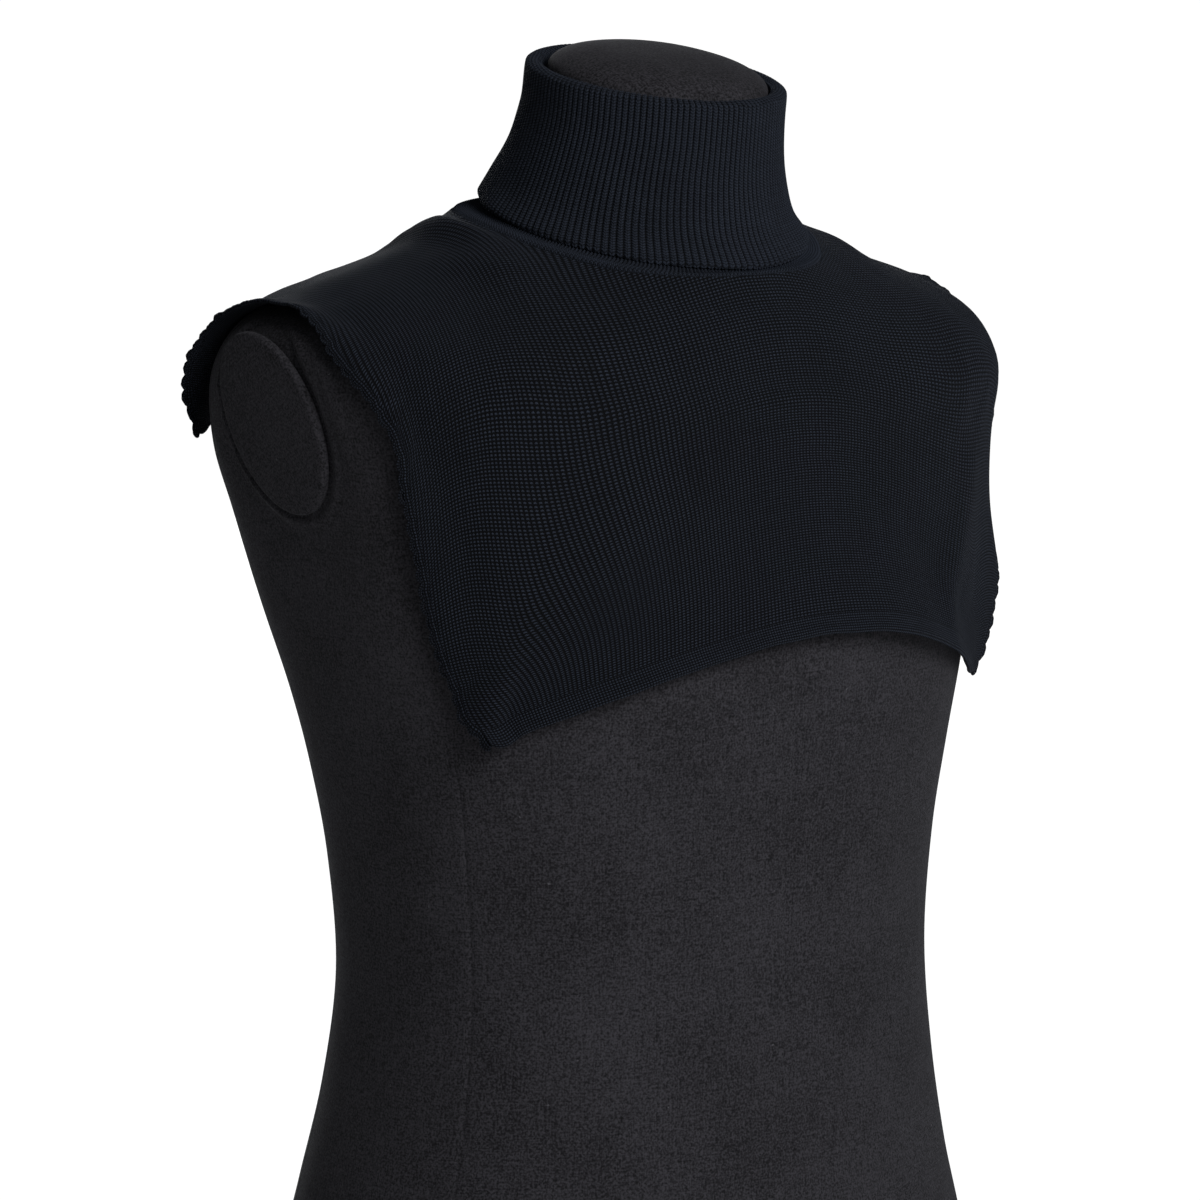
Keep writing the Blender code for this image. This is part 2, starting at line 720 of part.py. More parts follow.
def collar_face(columns, tree):
    """The knitted tube's one face as a closed grid, from the neckline over the fold and down to its edge."""
    middle = Vector((0.0, 0.0, NECKLINE[0].height))
    foot = []
    for column in range(columns):
        point = neckline_point(2 * column / columns)
        inward = (middle - point) * Vector((1, 1, 0))
        point = point + inward.normalized() * (2 * SEAM_GAP)
        foot.append(clear_of_form(point, tree, CLOTH_CLEARANCE))
    rings = [foot]
    rings += [collar_ring(row, columns, tree, CLOTH_CLEARANCE) for row in STAND_ROWS[:-1]]
    cells = np.array([[tuple(point) for point in ring] for ring in rings])
    for _ in range(LIFT_PASSES):
        lift_between(cells, tree)
    rings = [[Vector(cell) for cell in ring] for ring in cells]
    rings.append(collar_ring(STAND_ROWS[-1], columns, tree, 0.0))
    rings += [collar_ring(row, columns, tree, 0.0) for row in fold_rows()]
    rings += [collar_ring(row, columns, tree, FALL_CLEARANCE) for row in FALL_ROWS]
    return rings


def build_collar(tree, finish, parent):
    """One rib tube: a foot and a stand round the neck, folded outwards into the fall."""
    fine = collar_face(RIB_COLUMNS, tree)
    normals = surface_normals(fine, closed=True)
    normals[0] = [seam_direction(2 * column / RIB_COLUMNS) * -1 for column in range(RIB_COLUMNS)]
    step = RIB_COLUMNS // PLAIN_COLUMNS
    stand_end = len(STAND_ROWS)
    near_face, far_face = [], []
    for row, (ring, ring_normals) in enumerate(zip(fine, normals)):
        ribbed_fall = row > stand_end + 1
        ribbed_foot = row < 2
        ribs = [RIB_DEPTH * (column % 2) for column in range(RIB_COLUMNS)]
        if ribbed_fall:
            near = [point + normal * rib for point, normal, rib in zip(ring, ring_normals, ribs)]
        else:
            near = ring[::step]
        if ribbed_foot:
            far = [
                point - normal * (COLLAR_WALL + rib)
                for point, normal, rib in zip(ring, ring_normals, ribs)
            ]
        else:
            far = [
                point - normal * COLLAR_WALL
                for point, normal in zip(ring[::step], ring_normals[::step])
            ]
        near_face.append(near)
        far_face.append(far)
    points, faces = tube_wall(near_face + far_face[::-1])
    add_object("roll_collar", points, faces, finish, parent)


# ---------------------------------------------------------------- the whole object


def build_form(parent):
    """The limbless dress form: torso, neck cap and armhole plates. It returns the torso's search tree."""
    jersey = material("black_jersey", (0.020, 0.020, 0.021), 0.95)
    lid_jersey = material("black_jersey_lids", (0.024, 0.023, 0.023), 0.90)
    points, faces = loft(form_rings())
    add_object("form_torso", points, faces, jersey, parent)
    build_neck_cap(lid_jersey, parent)
    for side in (-1, 1):
        build_armhole_plate(side, lid_jersey, parent)
    return form_tree(points, faces)


def build_garment(tree, parent):
    """The neck warmer: two flaps with welts and scalloped edgings, and the roll collar."""
    knit = material("navy_knit", (0.010, 0.014, 0.021), 0.92)
    rib = material("navy_rib", (0.009, 0.013, 0.019), 0.92)
    grid = flap_grid(tree)
    normals = surface_normals(grid, closed=True)
    normals[0] = [seam_direction(share) for share in neckline_shares()]

    front = columns_of(grid, 0, FRONT_END)
    front_normals = columns_of(normals, 0, FRONT_END)
    points, faces = sheet_wall(front, front_normals, FLAP_WALL)
    add_object("front_panel", points, faces, knit, parent)

    back = columns_of(grid, FRONT_END, BACK_END)
    back_normals = columns_of(normals, FRONT_END, BACK_END)
    points, faces = sheet_wall(part_at_seams(back), back_normals, FLAP_WALL)
    add_object("back_panel", points, faces, knit, parent)

    front_corners = build_welt(
        "front_hem", front, front_normals, FRONT_SIDE_COLUMNS, FRONT_HEM_COLUMNS, rib, parent
    )
    back_corners = build_welt(
        "back_hem", back, back_normals, BACK_SIDE_COLUMNS, BACK_HEM_COLUMNS, rib, parent
    )

    front_count = len(front[0]) - 1
    back_count = len(back[0]) - 1
    front_right = border_frames(front, front_normals, 0, FRONT_SIDE_COLUMNS)
    front_left = border_frames(front, front_normals, front_count - FRONT_SIDE_COLUMNS, front_count)
    back_left = border_frames(back, back_normals, 0, BACK_SIDE_COLUMNS)
    back_right = border_frames(back, back_normals, back_count - BACK_SIDE_COLUMNS, back_count)
    right = (
        [(back_corners[1], *back_right[0][1:])]
        + back_right
        + front_right[1:]
        + [(front_corners[0], *front_right[-1][1:])]
    )
    left = (
        [(front_corners[1], *front_left[0][1:])]
        + front_left
        + back_left[1:]
        + [(back_corners[0], *back_left[-1][1:])]
    )
    build_edging("side_edging_right", right, rib, parent)
    build_edging("side_edging_left", left, rib, parent)
    build_collar(tree, rib, parent)


def main():
    """Clears the scene and builds the form with the neck warmer on it."""
    for leftover in list(bpy.data.objects):
        bpy.data.objects.remove(leftover)
    stand = bpy.data.objects.new("dress_form", None)
    garment = bpy.data.objects.new("neck_warmer", None)
    for group in (stand, garment):
        group.location.y = -MIDDLE_DEPTH
        bpy.context.scene.collection.objects.link(group)
    tree = build_form(stand)
    build_garment(tree, garment)


main()
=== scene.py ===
"""The looks of a fine-knit neck warmer with a rib roll collar, worn on a limbless dress form.

Metres, +Z up, the wearer's front at -Y and the wearer's left at +X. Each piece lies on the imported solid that
it stands for. The cloth is a thin wall with its own soft folds, and the form's jersey is a smooth skin.
"""

import logging
import math
from dataclasses import dataclass
from enum import Enum
from typing import NamedTuple, Sequence

import bmesh
import bpy
import numpy as np
from mathutils import Matrix, Vector
from mathutils.bvhtree import BVHTree


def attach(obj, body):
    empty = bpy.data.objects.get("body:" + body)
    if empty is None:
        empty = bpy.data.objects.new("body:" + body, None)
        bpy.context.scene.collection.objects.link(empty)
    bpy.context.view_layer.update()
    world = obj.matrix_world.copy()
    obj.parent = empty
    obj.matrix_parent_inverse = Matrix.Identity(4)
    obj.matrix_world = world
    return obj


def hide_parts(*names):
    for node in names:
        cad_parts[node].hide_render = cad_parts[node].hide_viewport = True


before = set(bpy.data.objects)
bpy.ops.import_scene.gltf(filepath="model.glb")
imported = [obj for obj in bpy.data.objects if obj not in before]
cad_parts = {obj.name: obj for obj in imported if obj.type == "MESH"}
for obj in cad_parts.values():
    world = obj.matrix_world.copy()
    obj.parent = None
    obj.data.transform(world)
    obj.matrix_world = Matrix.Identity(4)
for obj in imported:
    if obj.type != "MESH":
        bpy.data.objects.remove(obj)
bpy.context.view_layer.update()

LOG = logging.getLogger("neck_warmer")
BODY = "root"
MIDDLE_DEPTH = 0.0087  # halfway between the foremost and rearmost points, behind the waist's axis
SEED = 11
SHARP_ANGLE = math.radians(62)
CLOTH_CLEARANCE = 0.0010  # the least room between the form and the cloth's inner face

# ---------------------------------------------------------------- tables of the object's sections


class Ring(NamedTuple):
    """A level ring of the form. Front and back are measured from the waist's axis."""

    height: float
    half_width: float
    front: float
    back: float
    tilt: float
    front_square: float
    back_square: float
    middle: float


FORM_RINGS = (
    Ring(0.000, 0.1890, 0.1300, 0.1420, 0.0, 2.20, 2.20, 0.0000),
    Ring(0.050, 0.1860, 0.1270, 0.1390, 0.0, 2.20, 2.20, 0.0000),
    Ring(0.100, 0.1750, 0.1220, 0.1300, 0.0, 2.15, 2.15, 0.0000),
    Ring(0.150, 0.1640, 0.1165, 0.1200, 0.0, 2.25, 2.10, 0.0000),
    Ring(0.205, 0.1580, 0.1140, 0.1140, 0.0, 2.30, 2.05, 0.0000),
    Ring(0.260, 0.1610, 0.1155, 0.1160, 0.0, 2.35, 2.10, 0.0000),
    Ring(0.305, 0.1680, 0.1190, 0.1230, 0.0, 2.40, 2.15, 0.0000),
    Ring(0.343, 0.1760, 0.1220, 0.1300, 0.0, 2.42, 2.25, 0.0000),
    Ring(0.380, 0.1850, 0.1225, 0.1340, 0.0, 2.40, 2.50, 0.0000),
    Ring(0.428, 0.1950, 0.1200, 0.1340, 0.0, 2.35, 3.00, 0.0000),
    Ring(0.461, 0.2045, 0.1170, 0.1310, 0.0, 2.25, 3.30, 0.0000),
    Ring(0.488, 0.2090, 0.1165, 0.1240, 3.0, 2.25, 3.35, 0.0000),
    Ring(0.506, 0.2055, 0.1140, 0.1150, 7.0, 2.20, 3.00, 0.0000),
    Ring(0.519, 0.1950, 0.1115, 0.1010, 9.0, 2.15, 2.60, 0.0000),
    Ring(0.5275, 0.1780, 0.1090, 0.0900, 9.0, 2.05, 2.10, 0.0000),
    Ring(0.5355, 0.1540, 0.1060, 0.0830, 9.0, 2.00, 2.00, 0.0000),
    Ring(0.5430, 0.1285, 0.1000, 0.0770, 9.0, 2.00, 2.00, 0.0000),
    Ring(0.5520, 0.1000, 0.0905, 0.0700, 10.0, 2.00, 2.00, -0.0030),
    Ring(0.5605, 0.0800, 0.0815, 0.0600, 12.0, 2.00, 2.00, -0.0060),
    Ring(0.5710, 0.0655, 0.0745, 0.0500, 12.0, 2.00, 2.00, -0.0100),
    Ring(0.5880, 0.0570, 0.0695, 0.0415, 12.0, 2.00, 2.00, -0.0140),
    Ring(0.6100, 0.0535, 0.0680, 0.0370, 12.0, 2.00, 2.00, -0.0155),
    Ring(0.6300, 0.0530, 0.0715, 0.0325, 12.0, 2.00, 2.00, -0.0195),
)


class LidRow(NamedTuple):
    """A row of a rounded lid: its share of the half sizes, and its height above the seat."""

    share: float
    rise: float


PLATE_PROFILE = (
    LidRow(0.975, 0.0000),
    LidRow(0.996, 0.0004),
    LidRow(1.000, 0.0014),
    LidRow(1.000, 0.0024),
    LidRow(0.995, 0.0033),
    LidRow(0.982, 0.0040),
    LidRow(0.955, 0.0044),
    LidRow(0.880, 0.0047),
    LidRow(0.680, 0.0053),
    LidRow(0.400, 0.0058),
    LidRow(0.080, 0.0060),
)
CAP_PROFILE = (
    LidRow(0.980, 0.0000),
    LidRow(0.995, 0.0008),
    LidRow(1.000, 0.0025),
    LidRow(1.000, 0.0062),
    LidRow(0.985, 0.0086),
    LidRow(0.945, 0.0110),
    LidRow(0.860, 0.0136),
    LidRow(0.720, 0.0160),
    LidRow(0.520, 0.0180),
    LidRow(0.280, 0.0191),
    LidRow(0.070, 0.0194),
)


class SeamPoint(NamedTuple):
    """A point on a seam, hem or edge of the cloth."""

    lateral: float
    depth: float
    height: float


NECKLINE = (
    SeamPoint(0.0000, -0.0925, 0.5410),
    SeamPoint(0.0350, -0.0862, 0.5418),
    SeamPoint(0.0645, -0.0655, 0.5450),
    SeamPoint(0.0830, -0.0380, 0.5530),
    SeamPoint(0.0905, -0.0080, 0.5612),
    SeamPoint(0.0880, 0.0210, 0.5665),
    SeamPoint(0.0715, 0.0480, 0.5680),
    SeamPoint(0.0400, 0.0670, 0.5690),
    SeamPoint(0.0000, 0.0735, 0.5700),
)
FRONT_HEM = (
    SeamPoint(-0.156, -0.079, 0.342),
    SeamPoint(-0.107, -0.113, 0.3635),
    SeamPoint(-0.056, -0.125, 0.3765),
    SeamPoint(0.000, -0.129, 0.384),
    SeamPoint(0.056, -0.128, 0.381),
    SeamPoint(0.107, -0.113, 0.366),
    SeamPoint(0.159, -0.077, 0.342),
)
BACK_HEM = (
    SeamPoint(0.190, 0.095, 0.474),
    SeamPoint(0.128, 0.132, 0.476),
    SeamPoint(0.062, 0.142, 0.482),
    SeamPoint(0.000, 0.143, 0.485),
    SeamPoint(-0.062, 0.142, 0.482),
    SeamPoint(-0.128, 0.132, 0.476),
    SeamPoint(-0.190, 0.095, 0.474),
)
FRONT_RIGHT_EDGE = (
    SeamPoint(-0.156, -0.079, 0.3420),
    SeamPoint(-0.160, -0.069, 0.3620),
    SeamPoint(-0.167, -0.065, 0.3860),
    SeamPoint(-0.176, -0.063, 0.4200),
    SeamPoint(-0.183, -0.061, 0.4550),
    SeamPoint(-0.188, -0.059, 0.4800),
    SeamPoint(-0.192, -0.045, 0.4965),
    SeamPoint(-0.193, -0.028, 0.5065),
    SeamPoint(-0.194, -0.012, 0.5200),
    SeamPoint(-0.194, 0.004, 0.5300),
)
FRONT_LEFT_EDGE = (
    SeamPoint(0.159, -0.077, 0.3420),
    SeamPoint(0.166, -0.077, 0.3600),
    SeamPoint(0.175, -0.074, 0.3860),
    SeamPoint(0.180, -0.063, 0.4060),
    SeamPoint(0.182, -0.055, 0.4220),
    SeamPoint(0.190, -0.052, 0.4530),
    SeamPoint(0.194, -0.052, 0.4780),
    SeamPoint(0.196, -0.038, 0.4980),
    SeamPoint(0.196, -0.018, 0.5160),
    SeamPoint(0.194, 0.000, 0.5245),
)
BACK_LEFT_EDGE = (
    SeamPoint(0.190, 0.095, 0.4740),
    SeamPoint(0.194, 0.093, 0.4940),
    SeamPoint(0.195, 0.079, 0.5090),
    SeamPoint(0.195, 0.062, 0.5200),
    SeamPoint(0.195, 0.034, 0.5270),
    SeamPoint(0.194, 0.000, 0.5245),
)
BACK_RIGHT_EDGE = (
    SeamPoint(-0.190, 0.095, 0.4740),
    SeamPoint(-0.194, 0.093, 0.4950),
    SeamPoint(-0.195, 0.080, 0.5110),
    SeamPoint(-0.195, 0.062, 0.5235),
    SeamPoint(-0.195, 0.034, 0.5310),
    SeamPoint(-0.194, 0.004, 0.5300),
)


class CollarRow(NamedTuple):
    """A level of the collar's one face: it leans down towards the front by its tilt."""

    height: float
    half_width: float
    half_depth: float
    centre_depth: float
    tilt: float
    sag: float


STAND_ROWS = (
    CollarRow(0.5580, 0.0790, 0.0770, -0.0080, 12.0, 0.003),
    CollarRow(0.5720, 0.0670, 0.0665, -0.0095, 13.5, 0.002),
    CollarRow(0.5880, 0.0590, 0.0580, -0.0130, 12.5, 0.000),
    CollarRow(0.6080, 0.0558, 0.0548, -0.0155, 12.0, 0.000),
    CollarRow(0.6310, 0.0560, 0.0555, -0.0190, 11.5, 0.000),
)
FALL_ROWS = (
    CollarRow(0.6310, 0.0628, 0.0622, -0.0190, 11.5, 0.000),
    CollarRow(0.6150, 0.0632, 0.0630, -0.0165, 12.0, 0.000),
    CollarRow(0.5960, 0.0668, 0.0655, -0.0125, 12.5, 0.000),
    CollarRow(0.5785, 0.0725, 0.0720, -0.0090, 13.0, 0.000),
    CollarRow(0.5650, 0.0795, 0.0797, -0.0090, 13.5, 0.001),
)


class Crease(NamedTuple):
    """A soft fold of a flap, in the flat cloth's coordinates. A rise below zero is a trough."""

    start_across: float
    start_along: float
    end_across: float
    end_along: float
    half_width: float
    rise: float


# Across is from the middle towards the wearer's left, and along is from the shoulder line towards the back.
CREASES = (
    Crease(0.106, -0.240, 0.116, -0.140, 0.009, 0.0026),
    Crease(0.132, -0.236, 0.138, -0.165, 0.014, -0.0014),
    Crease(0.086, -0.236, 0.094, -0.180, 0.012, -0.0010),
    Crease(-0.101, -0.034, -0.095, 0.036, 0.0095, 0.0044),
    Crease(-0.110, 0.012, -0.190, 0.040, 0.022, 0.0022),
    Crease(-0.090, 0.020, -0.100, 0.045, 0.007, 0.0015),
    Crease(-0.120, -0.020, -0.180, -0.010, 0.020, 0.0014),
    Crease(-0.150, -0.225, -0.135, -0.150, 0.013, 0.0018),
    Crease(-0.045, -0.125, 0.050, -0.128, 0.0045, 0.0007),
    Crease(-0.052, -0.143, 0.062, -0.146, 0.0050, 0.0008),
    Crease(-0.040, -0.160, 0.070, -0.163, 0.0055, 0.0006),
    Crease(-0.098, -0.055, -0.120, -0.010, 0.012, 0.0030),
    Crease(-0.085, -0.085, -0.140, -0.115, 0.013, 0.0012),
    Crease(0.090, -0.080, 0.145, -0.105, 0.013, 0.0014),
    Crease(0.098, -0.045, 0.118, -0.008, 0.012, 0.0024),
    Crease(-0.098, 0.050, -0.135, 0.120, 0.012, 0.0022),
    Crease(0.100, 0.045, 0.140, 0.118, 0.013, 0.0024),
    Crease(-0.030, 0.100, -0.042, 0.155, 0.014, 0.0016),
    Crease(0.045, 0.095, 0.060, 0.155, 0.012, 0.0014),
)


# ---------------------------------------------------------------- curves and meshes


def cubic(points: Sequence[np.ndarray], step: np.ndarray) -> np.ndarray:
    """Reads the smooth curve that runs from the second to the third of four points.

    Args:
        points: The four points, or four arrays of them.
        step: Where to read it, from 0 at the second point to 1 at the third.

    Returns:
        The curve's points.
    """
    before, here, there, after = points
    leave, arrive, rise = (there - before) / 2, (after - here) / 2, there - here
    bend = (3 * rise - 2 * leave - arrive) * step**2
    return here + leave * step + bend + (leave + arrive - 2 * rise) * step**3


def smooth_rows(rows: Sequence, shares: np.ndarray) -> np.ndarray:
    """Reads a table on the smooth curve through its rows.

    Args:
        rows: The table, one row for each section, of any number of values.
        shares: Where to read it, from 0 at its first row to 1 at its last.

    Returns:
        One row of values for each share.
    """
    table = np.asarray(rows, float)
    place = np.clip(shares, 0.0, 1.0) * (len(table) - 1)
    start = np.minimum(place.astype(int), len(table) - 2)
    step = (place - start).reshape(-1, *[1] * (table.ndim - 1))
    longer = np.concatenate([2 * table[:1] - table[1:2], table, 2 * table[-1:] - table[-2:-1]])
    return cubic([longer[start + offset] for offset in range(4)], step)


def smooth_ring(cells: np.ndarray, parts: int) -> np.ndarray:
    """Reads a closed grid at more columns, on smooth closed curves.

    Args:
        cells: The grid, rows by columns by values. Its last column is followed by its first.
        parts: How many columns stand for one.

    Returns:
        The grid with parts times its columns.
    """
    columns = cells.shape[1]
    longer = np.concatenate([cells[:, -1:], cells, cells[:, :2]], axis=1)
    step = (np.arange(parts) / parts).reshape(1, 1, parts, 1)
    points = [longer[:, offset : offset + columns][:, :, None, :] for offset in range(4)]
    return cubic(points, step).reshape(cells.shape[0], columns * parts, -1)


def run_along(points: np.ndarray) -> np.ndarray:
    """The distance from the first row of points to each row, along the lines that run through them."""
    return np.cumsum(np.linalg.norm(np.diff(points, axis=0, prepend=points[:1]), axis=-1), axis=0)


def even_shares(rows: Sequence, count: int, columns: Sequence[int]) -> np.ndarray:
    """Finds shares of a table that lie at even distances along its curve.

    Args:
        rows: The table.
        count: How many shares to find.
        columns: The table's columns in which distance is measured.

    Returns:
        The shares, from 0 to 1.
    """
    fine = np.linspace(0.0, 1.0, 12 * len(rows))
    run = run_along(smooth_rows(rows, fine)[:, list(columns)])
    return np.interp(np.linspace(0.0, run[-1], count), run, fine)


def signed_power(values: np.ndarray, power: np.ndarray | float) -> np.ndarray:
    """The values' sizes raised to the power, with their own signs."""
    return np.sign(values) * np.abs(values) ** power


def unit(vectors: np.ndarray) -> np.ndarray:
    """The vectors, each of length one."""
    return vectors / np.maximum(np.linalg.norm(vectors, axis=-1, keepdims=True), 1e-12)


def grid_normals(cells: np.ndarray, closed: bool) -> np.ndarray:
    """Finds the unit normals of a grid. They point outwards where its rows run downwards.

    Args:
        cells: The grid's points, rows by columns by three.
        closed: Whether the last column is followed by the first.

    Returns:
        One normal for each point.
    """
    along = np.gradient(cells, axis=0)
    if closed:
        across = (np.roll(cells, -1, axis=1) - np.roll(cells, 1, axis=1)) / 2
    else:
        across = np.gradient(cells, axis=1)
    return unit(np.cross(along, across))


def soft_step(values: np.ndarray) -> np.ndarray:
    """Zero below 0, one above 1, and a smooth rise between them."""
    held = np.clip(values, 0.0, 1.0)
    return held * held * (3 - 2 * held)


def hump(values: np.ndarray, middle: float, width: float) -> np.ndarray:
    """A smooth hump: one at its middle, and about a third one width away from it."""
    return np.exp(-(((values - middle) / width) ** 2))


def soft_waves(places: np.ndarray, pitch: float, seed: int) -> np.ndarray:
    """Slow uneven waves over points, for cloth that is never quite regular.

    Args:
        places: The points, with any number of coordinates in their last axis.
        pitch: The waves' mean length.
        seed: Which set of waves to use.

    Returns:
        One value for each point, mostly from -1 to 1.
    """
    draw = np.random.default_rng(seed)
    total = np.zeros(places.shape[:-1])
    for _ in range(6):
        direction = unit(draw.normal(size=places.shape[-1]))
        length = pitch * draw.uniform(0.7, 1.6)
        total += np.sin(places @ direction * (2 * math.pi / length) + draw.uniform(0, 2 * math.pi))
    return total / 3.0


class Cloth(NamedTuple):
    """A finished material and the record's slot for it."""

    material: bpy.types.Material
    slot: str


class MeshDraft:
    """The points, faces and flat-cloth coordinates of one piece while it is put together."""

    def __init__(self) -> None:
        """Starts with nothing."""
        self.points: list[np.ndarray] = []
        self.corners: list[np.ndarray] = []
        self.flat: list[np.ndarray] = []
        self.caps: list[tuple[list[int], np.ndarray]] = []
        self.count = 0

    def place(self, cells: np.ndarray) -> np.ndarray:
        """Adds points.

        Args:
            cells: Points in a grid of any shape, with three coordinates last.

        Returns:
            The points' numbers, in the grid's own shape.
        """
        numbers = np.arange(cells[..., 0].size).reshape(cells.shape[:-1]) + self.count
        self.points.append(cells.reshape(-1, 3))
        self.count += numbers.size
        return numbers

    def weave(self, numbers: np.ndarray, flat: np.ndarray, closed: bool = False) -> None:
        """Adds the faces of a grid of points.

        Args:
            numbers: The points' numbers, rows by columns.
            flat: The flat-cloth coordinates, with one column more if the grid is closed.
            closed: Whether the last column is joined to the first.
        """
        if closed:
            numbers = np.concatenate([numbers, numbers[:, :1]], axis=1)
        turns = ((slice(None, -1), slice(None, -1)), (slice(1, None), slice(None, -1)))
        turns += ((slice(1, None), slice(1, None)), (slice(None, -1), slice(1, None)))
        self.corners.append(np.stack([numbers[turn] for turn in turns], axis=-1).reshape(-1, 4))
        self.flat.append(np.stack([flat[turn] for turn in turns], axis=-2).reshape(-1, 4, 2))

    def add_tube(self, cells: np.ndarray, flat: np.ndarray, ends: np.ndarray | None = None) -> None:
        """Adds a closed grid and a face over each of its ends.

        Args:
            cells: The grid's points, rows by columns by three.
            flat: Its flat-cloth coordinates, with one column more.
            ends: Other coordinates for the two end faces, row by row.
        """
        numbers = self.place(cells)
        self.weave(numbers, flat, closed=True)
        spots = flat[:, :-1] if ends is None else ends
        self.caps += [(numbers[row].tolist(), spots[row]) for row in (0, -1)]

    def add_wall(self, inner: np.ndarray, outer: np.ndarray, flat: np.ndarray) -> None:
        """Adds a thin closed wall.

        Args:
            inner: The grid of its inner face.
            outer: The grid of its outer face.
            flat: The flat-cloth coordinates of both.
        """
        near, far = self.place(outer), self.place(inner)
        self.weave(near, flat)
        self.weave(far[:, ::-1], flat[:, ::-1])
        for rim in (np.s_[0, :], np.s_[-1, :], np.s_[:, 0], np.s_[:, -1]):
            self.weave(np.stack([near[rim], far[rim]]), np.stack([flat[rim], flat[rim]]))

    def make(self, name: str, node: str, cloth: Cloth) -> bpy.types.Object:
        """Makes the piece, with its faces turned outwards.

        Args:
            name: The piece's name.
            node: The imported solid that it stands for.
            cloth: Its material and slot.

        Returns:
            The new object, which rides on the part's one body.
        """
        points = np.concatenate(self.points)
        points[:, 1] -= MIDDLE_DEPTH
        faces = np.concatenate(self.corners).tolist() + [cap for cap, _ in self.caps]
        mesh = bpy.data.meshes.new(name)
        mesh.from_pydata(points.tolist(), [], faces)
        flat = np.concatenate([np.concatenate(self.flat).reshape(-1, 2)] + [spot for _, spot in self.caps])
        mesh.uv_layers.new(name="flat").data.foreach_set("uv", flat.astype(np.float32).ravel())
        shape = bmesh.new()
        shape.from_mesh(mesh)
        bmesh.ops.recalc_face_normals(shape, faces=shape.faces)
        shape.to_mesh(mesh)
        shape.free()
        mesh.shade_smooth()
        mesh.set_sharp_from_angle(angle=SHARP_ANGLE)
        mesh.materials.append(cloth.material)
        piece = bpy.data.objects.new(name, mesh)
        bpy.context.scene.collection.objects.link(piece)
        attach(piece, BODY)
        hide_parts(node)
        LOG.info("%s: %d faces", name, len(mesh.polygons))
        return piece


# ---------------------------------------------------------------- shader node groups


class Wiring:
    """Short ways to place and link the nodes of one shader tree."""

    def __init__(self, tree: bpy.types.NodeTree) -> None:
        """Works on the given tree."""
        self.tree = tree

    def node(self, kind: str, **settings: object) -> bpy.types.Node:
        """Places a node.

        Args:
            kind: The node's type name.
            settings: Its properties.

        Returns:
            The node.
        """
        made = self.tree.nodes.new(kind)
        for name, value in settings.items():
            setattr(made, name, value)
        return made

    def feed(self, socket: bpy.types.NodeSocket, value: object) -> None:
        """Links a socket to an output, or sets its own value.

        Args:
            socket: The input socket.
            value: An output socket, or the value to set.
        """
        if isinstance(value, bpy.types.NodeSocket):
            self.tree.links.new(value, socket)
        else:
            socket.default_value = value

    def math(self, operation: str, *values: object) -> bpy.types.NodeSocket:
        """Places a Math node on up to three values, and returns its output.

        Args:
            operation: What the node does.
            values: Up to three numbers or output sockets.

        Returns:
            The node's output.
        """
        made = self.node("ShaderNodeMath", operation=operation)
        for socket, value in zip(made.inputs, values):
            self.feed(socket, value)
        return made.outputs[0]

    def wave(self, phase: object) -> bpy.types.NodeSocket:
        """A hump for each whole number of the phase, from 0 at the half steps to 1."""
        turned = self.math("COSINE", self.math("MULTIPLY", phase, 2 * math.pi))
        return self.math("MULTIPLY_ADD", turned, 0.5, 0.5)

    def noise(self, place: object, scale: float, detail: float) -> bpy.types.NodeSocket:
        """A cloudy pattern.

        Args:
            place: The coordinates.
            scale: Its clouds for each metre.
            detail: How many finer layers it has.

        Returns:
            The pattern's value, from 0 to 1.
        """
        made = self.node("ShaderNodeTexNoise")
        self.feed(made.inputs["Vector"], place)
        made.inputs["Scale"].default_value = scale
        made.inputs["Detail"].default_value = detail
        return made.outputs["Fac"]

    def ramp(self, value: object, low: object, high: object) -> bpy.types.NodeSocket:
        """Maps the range from low to high onto 0 to 1, smoothly.

        Args:
            value: The number or socket to map.
            low: Where the rise starts.
            high: Where it ends.

        Returns:
            The mapped value.
        """
        made = self.node("ShaderNodeMapRange", interpolation_type="SMOOTHSTEP")
        self.feed(made.inputs["Value"], value)
        self.feed(made.inputs["From Min"], low)
        self.feed(made.inputs["From Max"], high)
        return made.outputs["Result"]

    def stretched(self, place: object, scale: tuple[float, float, float]) -> bpy.types.NodeSocket:
        """The coordinates, multiplied along each axis.

        Args:
            place: The coordinates.
            scale: The factor along each axis.

        Returns:
            The stretched coordinates.
        """
        made = self.node("ShaderNodeVectorMath", operation="MULTIPLY")
        self.feed(made.inputs[0], place)
        made.inputs[1].default_value = scale
        return made.outputs[0]


def new_group(name: str, inputs: dict[str, object], outputs: Sequence[str]) -> tuple:
    """Starts a shader node group.

    Args:
        name: The group's name.
        inputs: Its inputs' names and values. A value of None makes a vector.
        outputs: Its outputs' names.

    Returns:
        The group, its wiring, its input sockets by name and its output sockets by name.
    """
    tree = bpy.data.node_groups.new(name, "ShaderNodeTree")
    for title, value in inputs.items():
        kind = "NodeSocketVector" if value is None else "NodeSocketFloat"
        socket = tree.interface.new_socket(title, in_out="INPUT", socket_type=kind)
        if value is not None:
            socket.default_value = value
    for title in outputs:
        tree.interface.new_socket(title, in_out="OUTPUT", socket_type="NodeSocketFloat")
    entry, leave = tree.nodes.new("NodeGroupInput"), tree.nodes.new("NodeGroupOutput")
    return tree, Wiring(tree), entry.outputs, leave.inputs


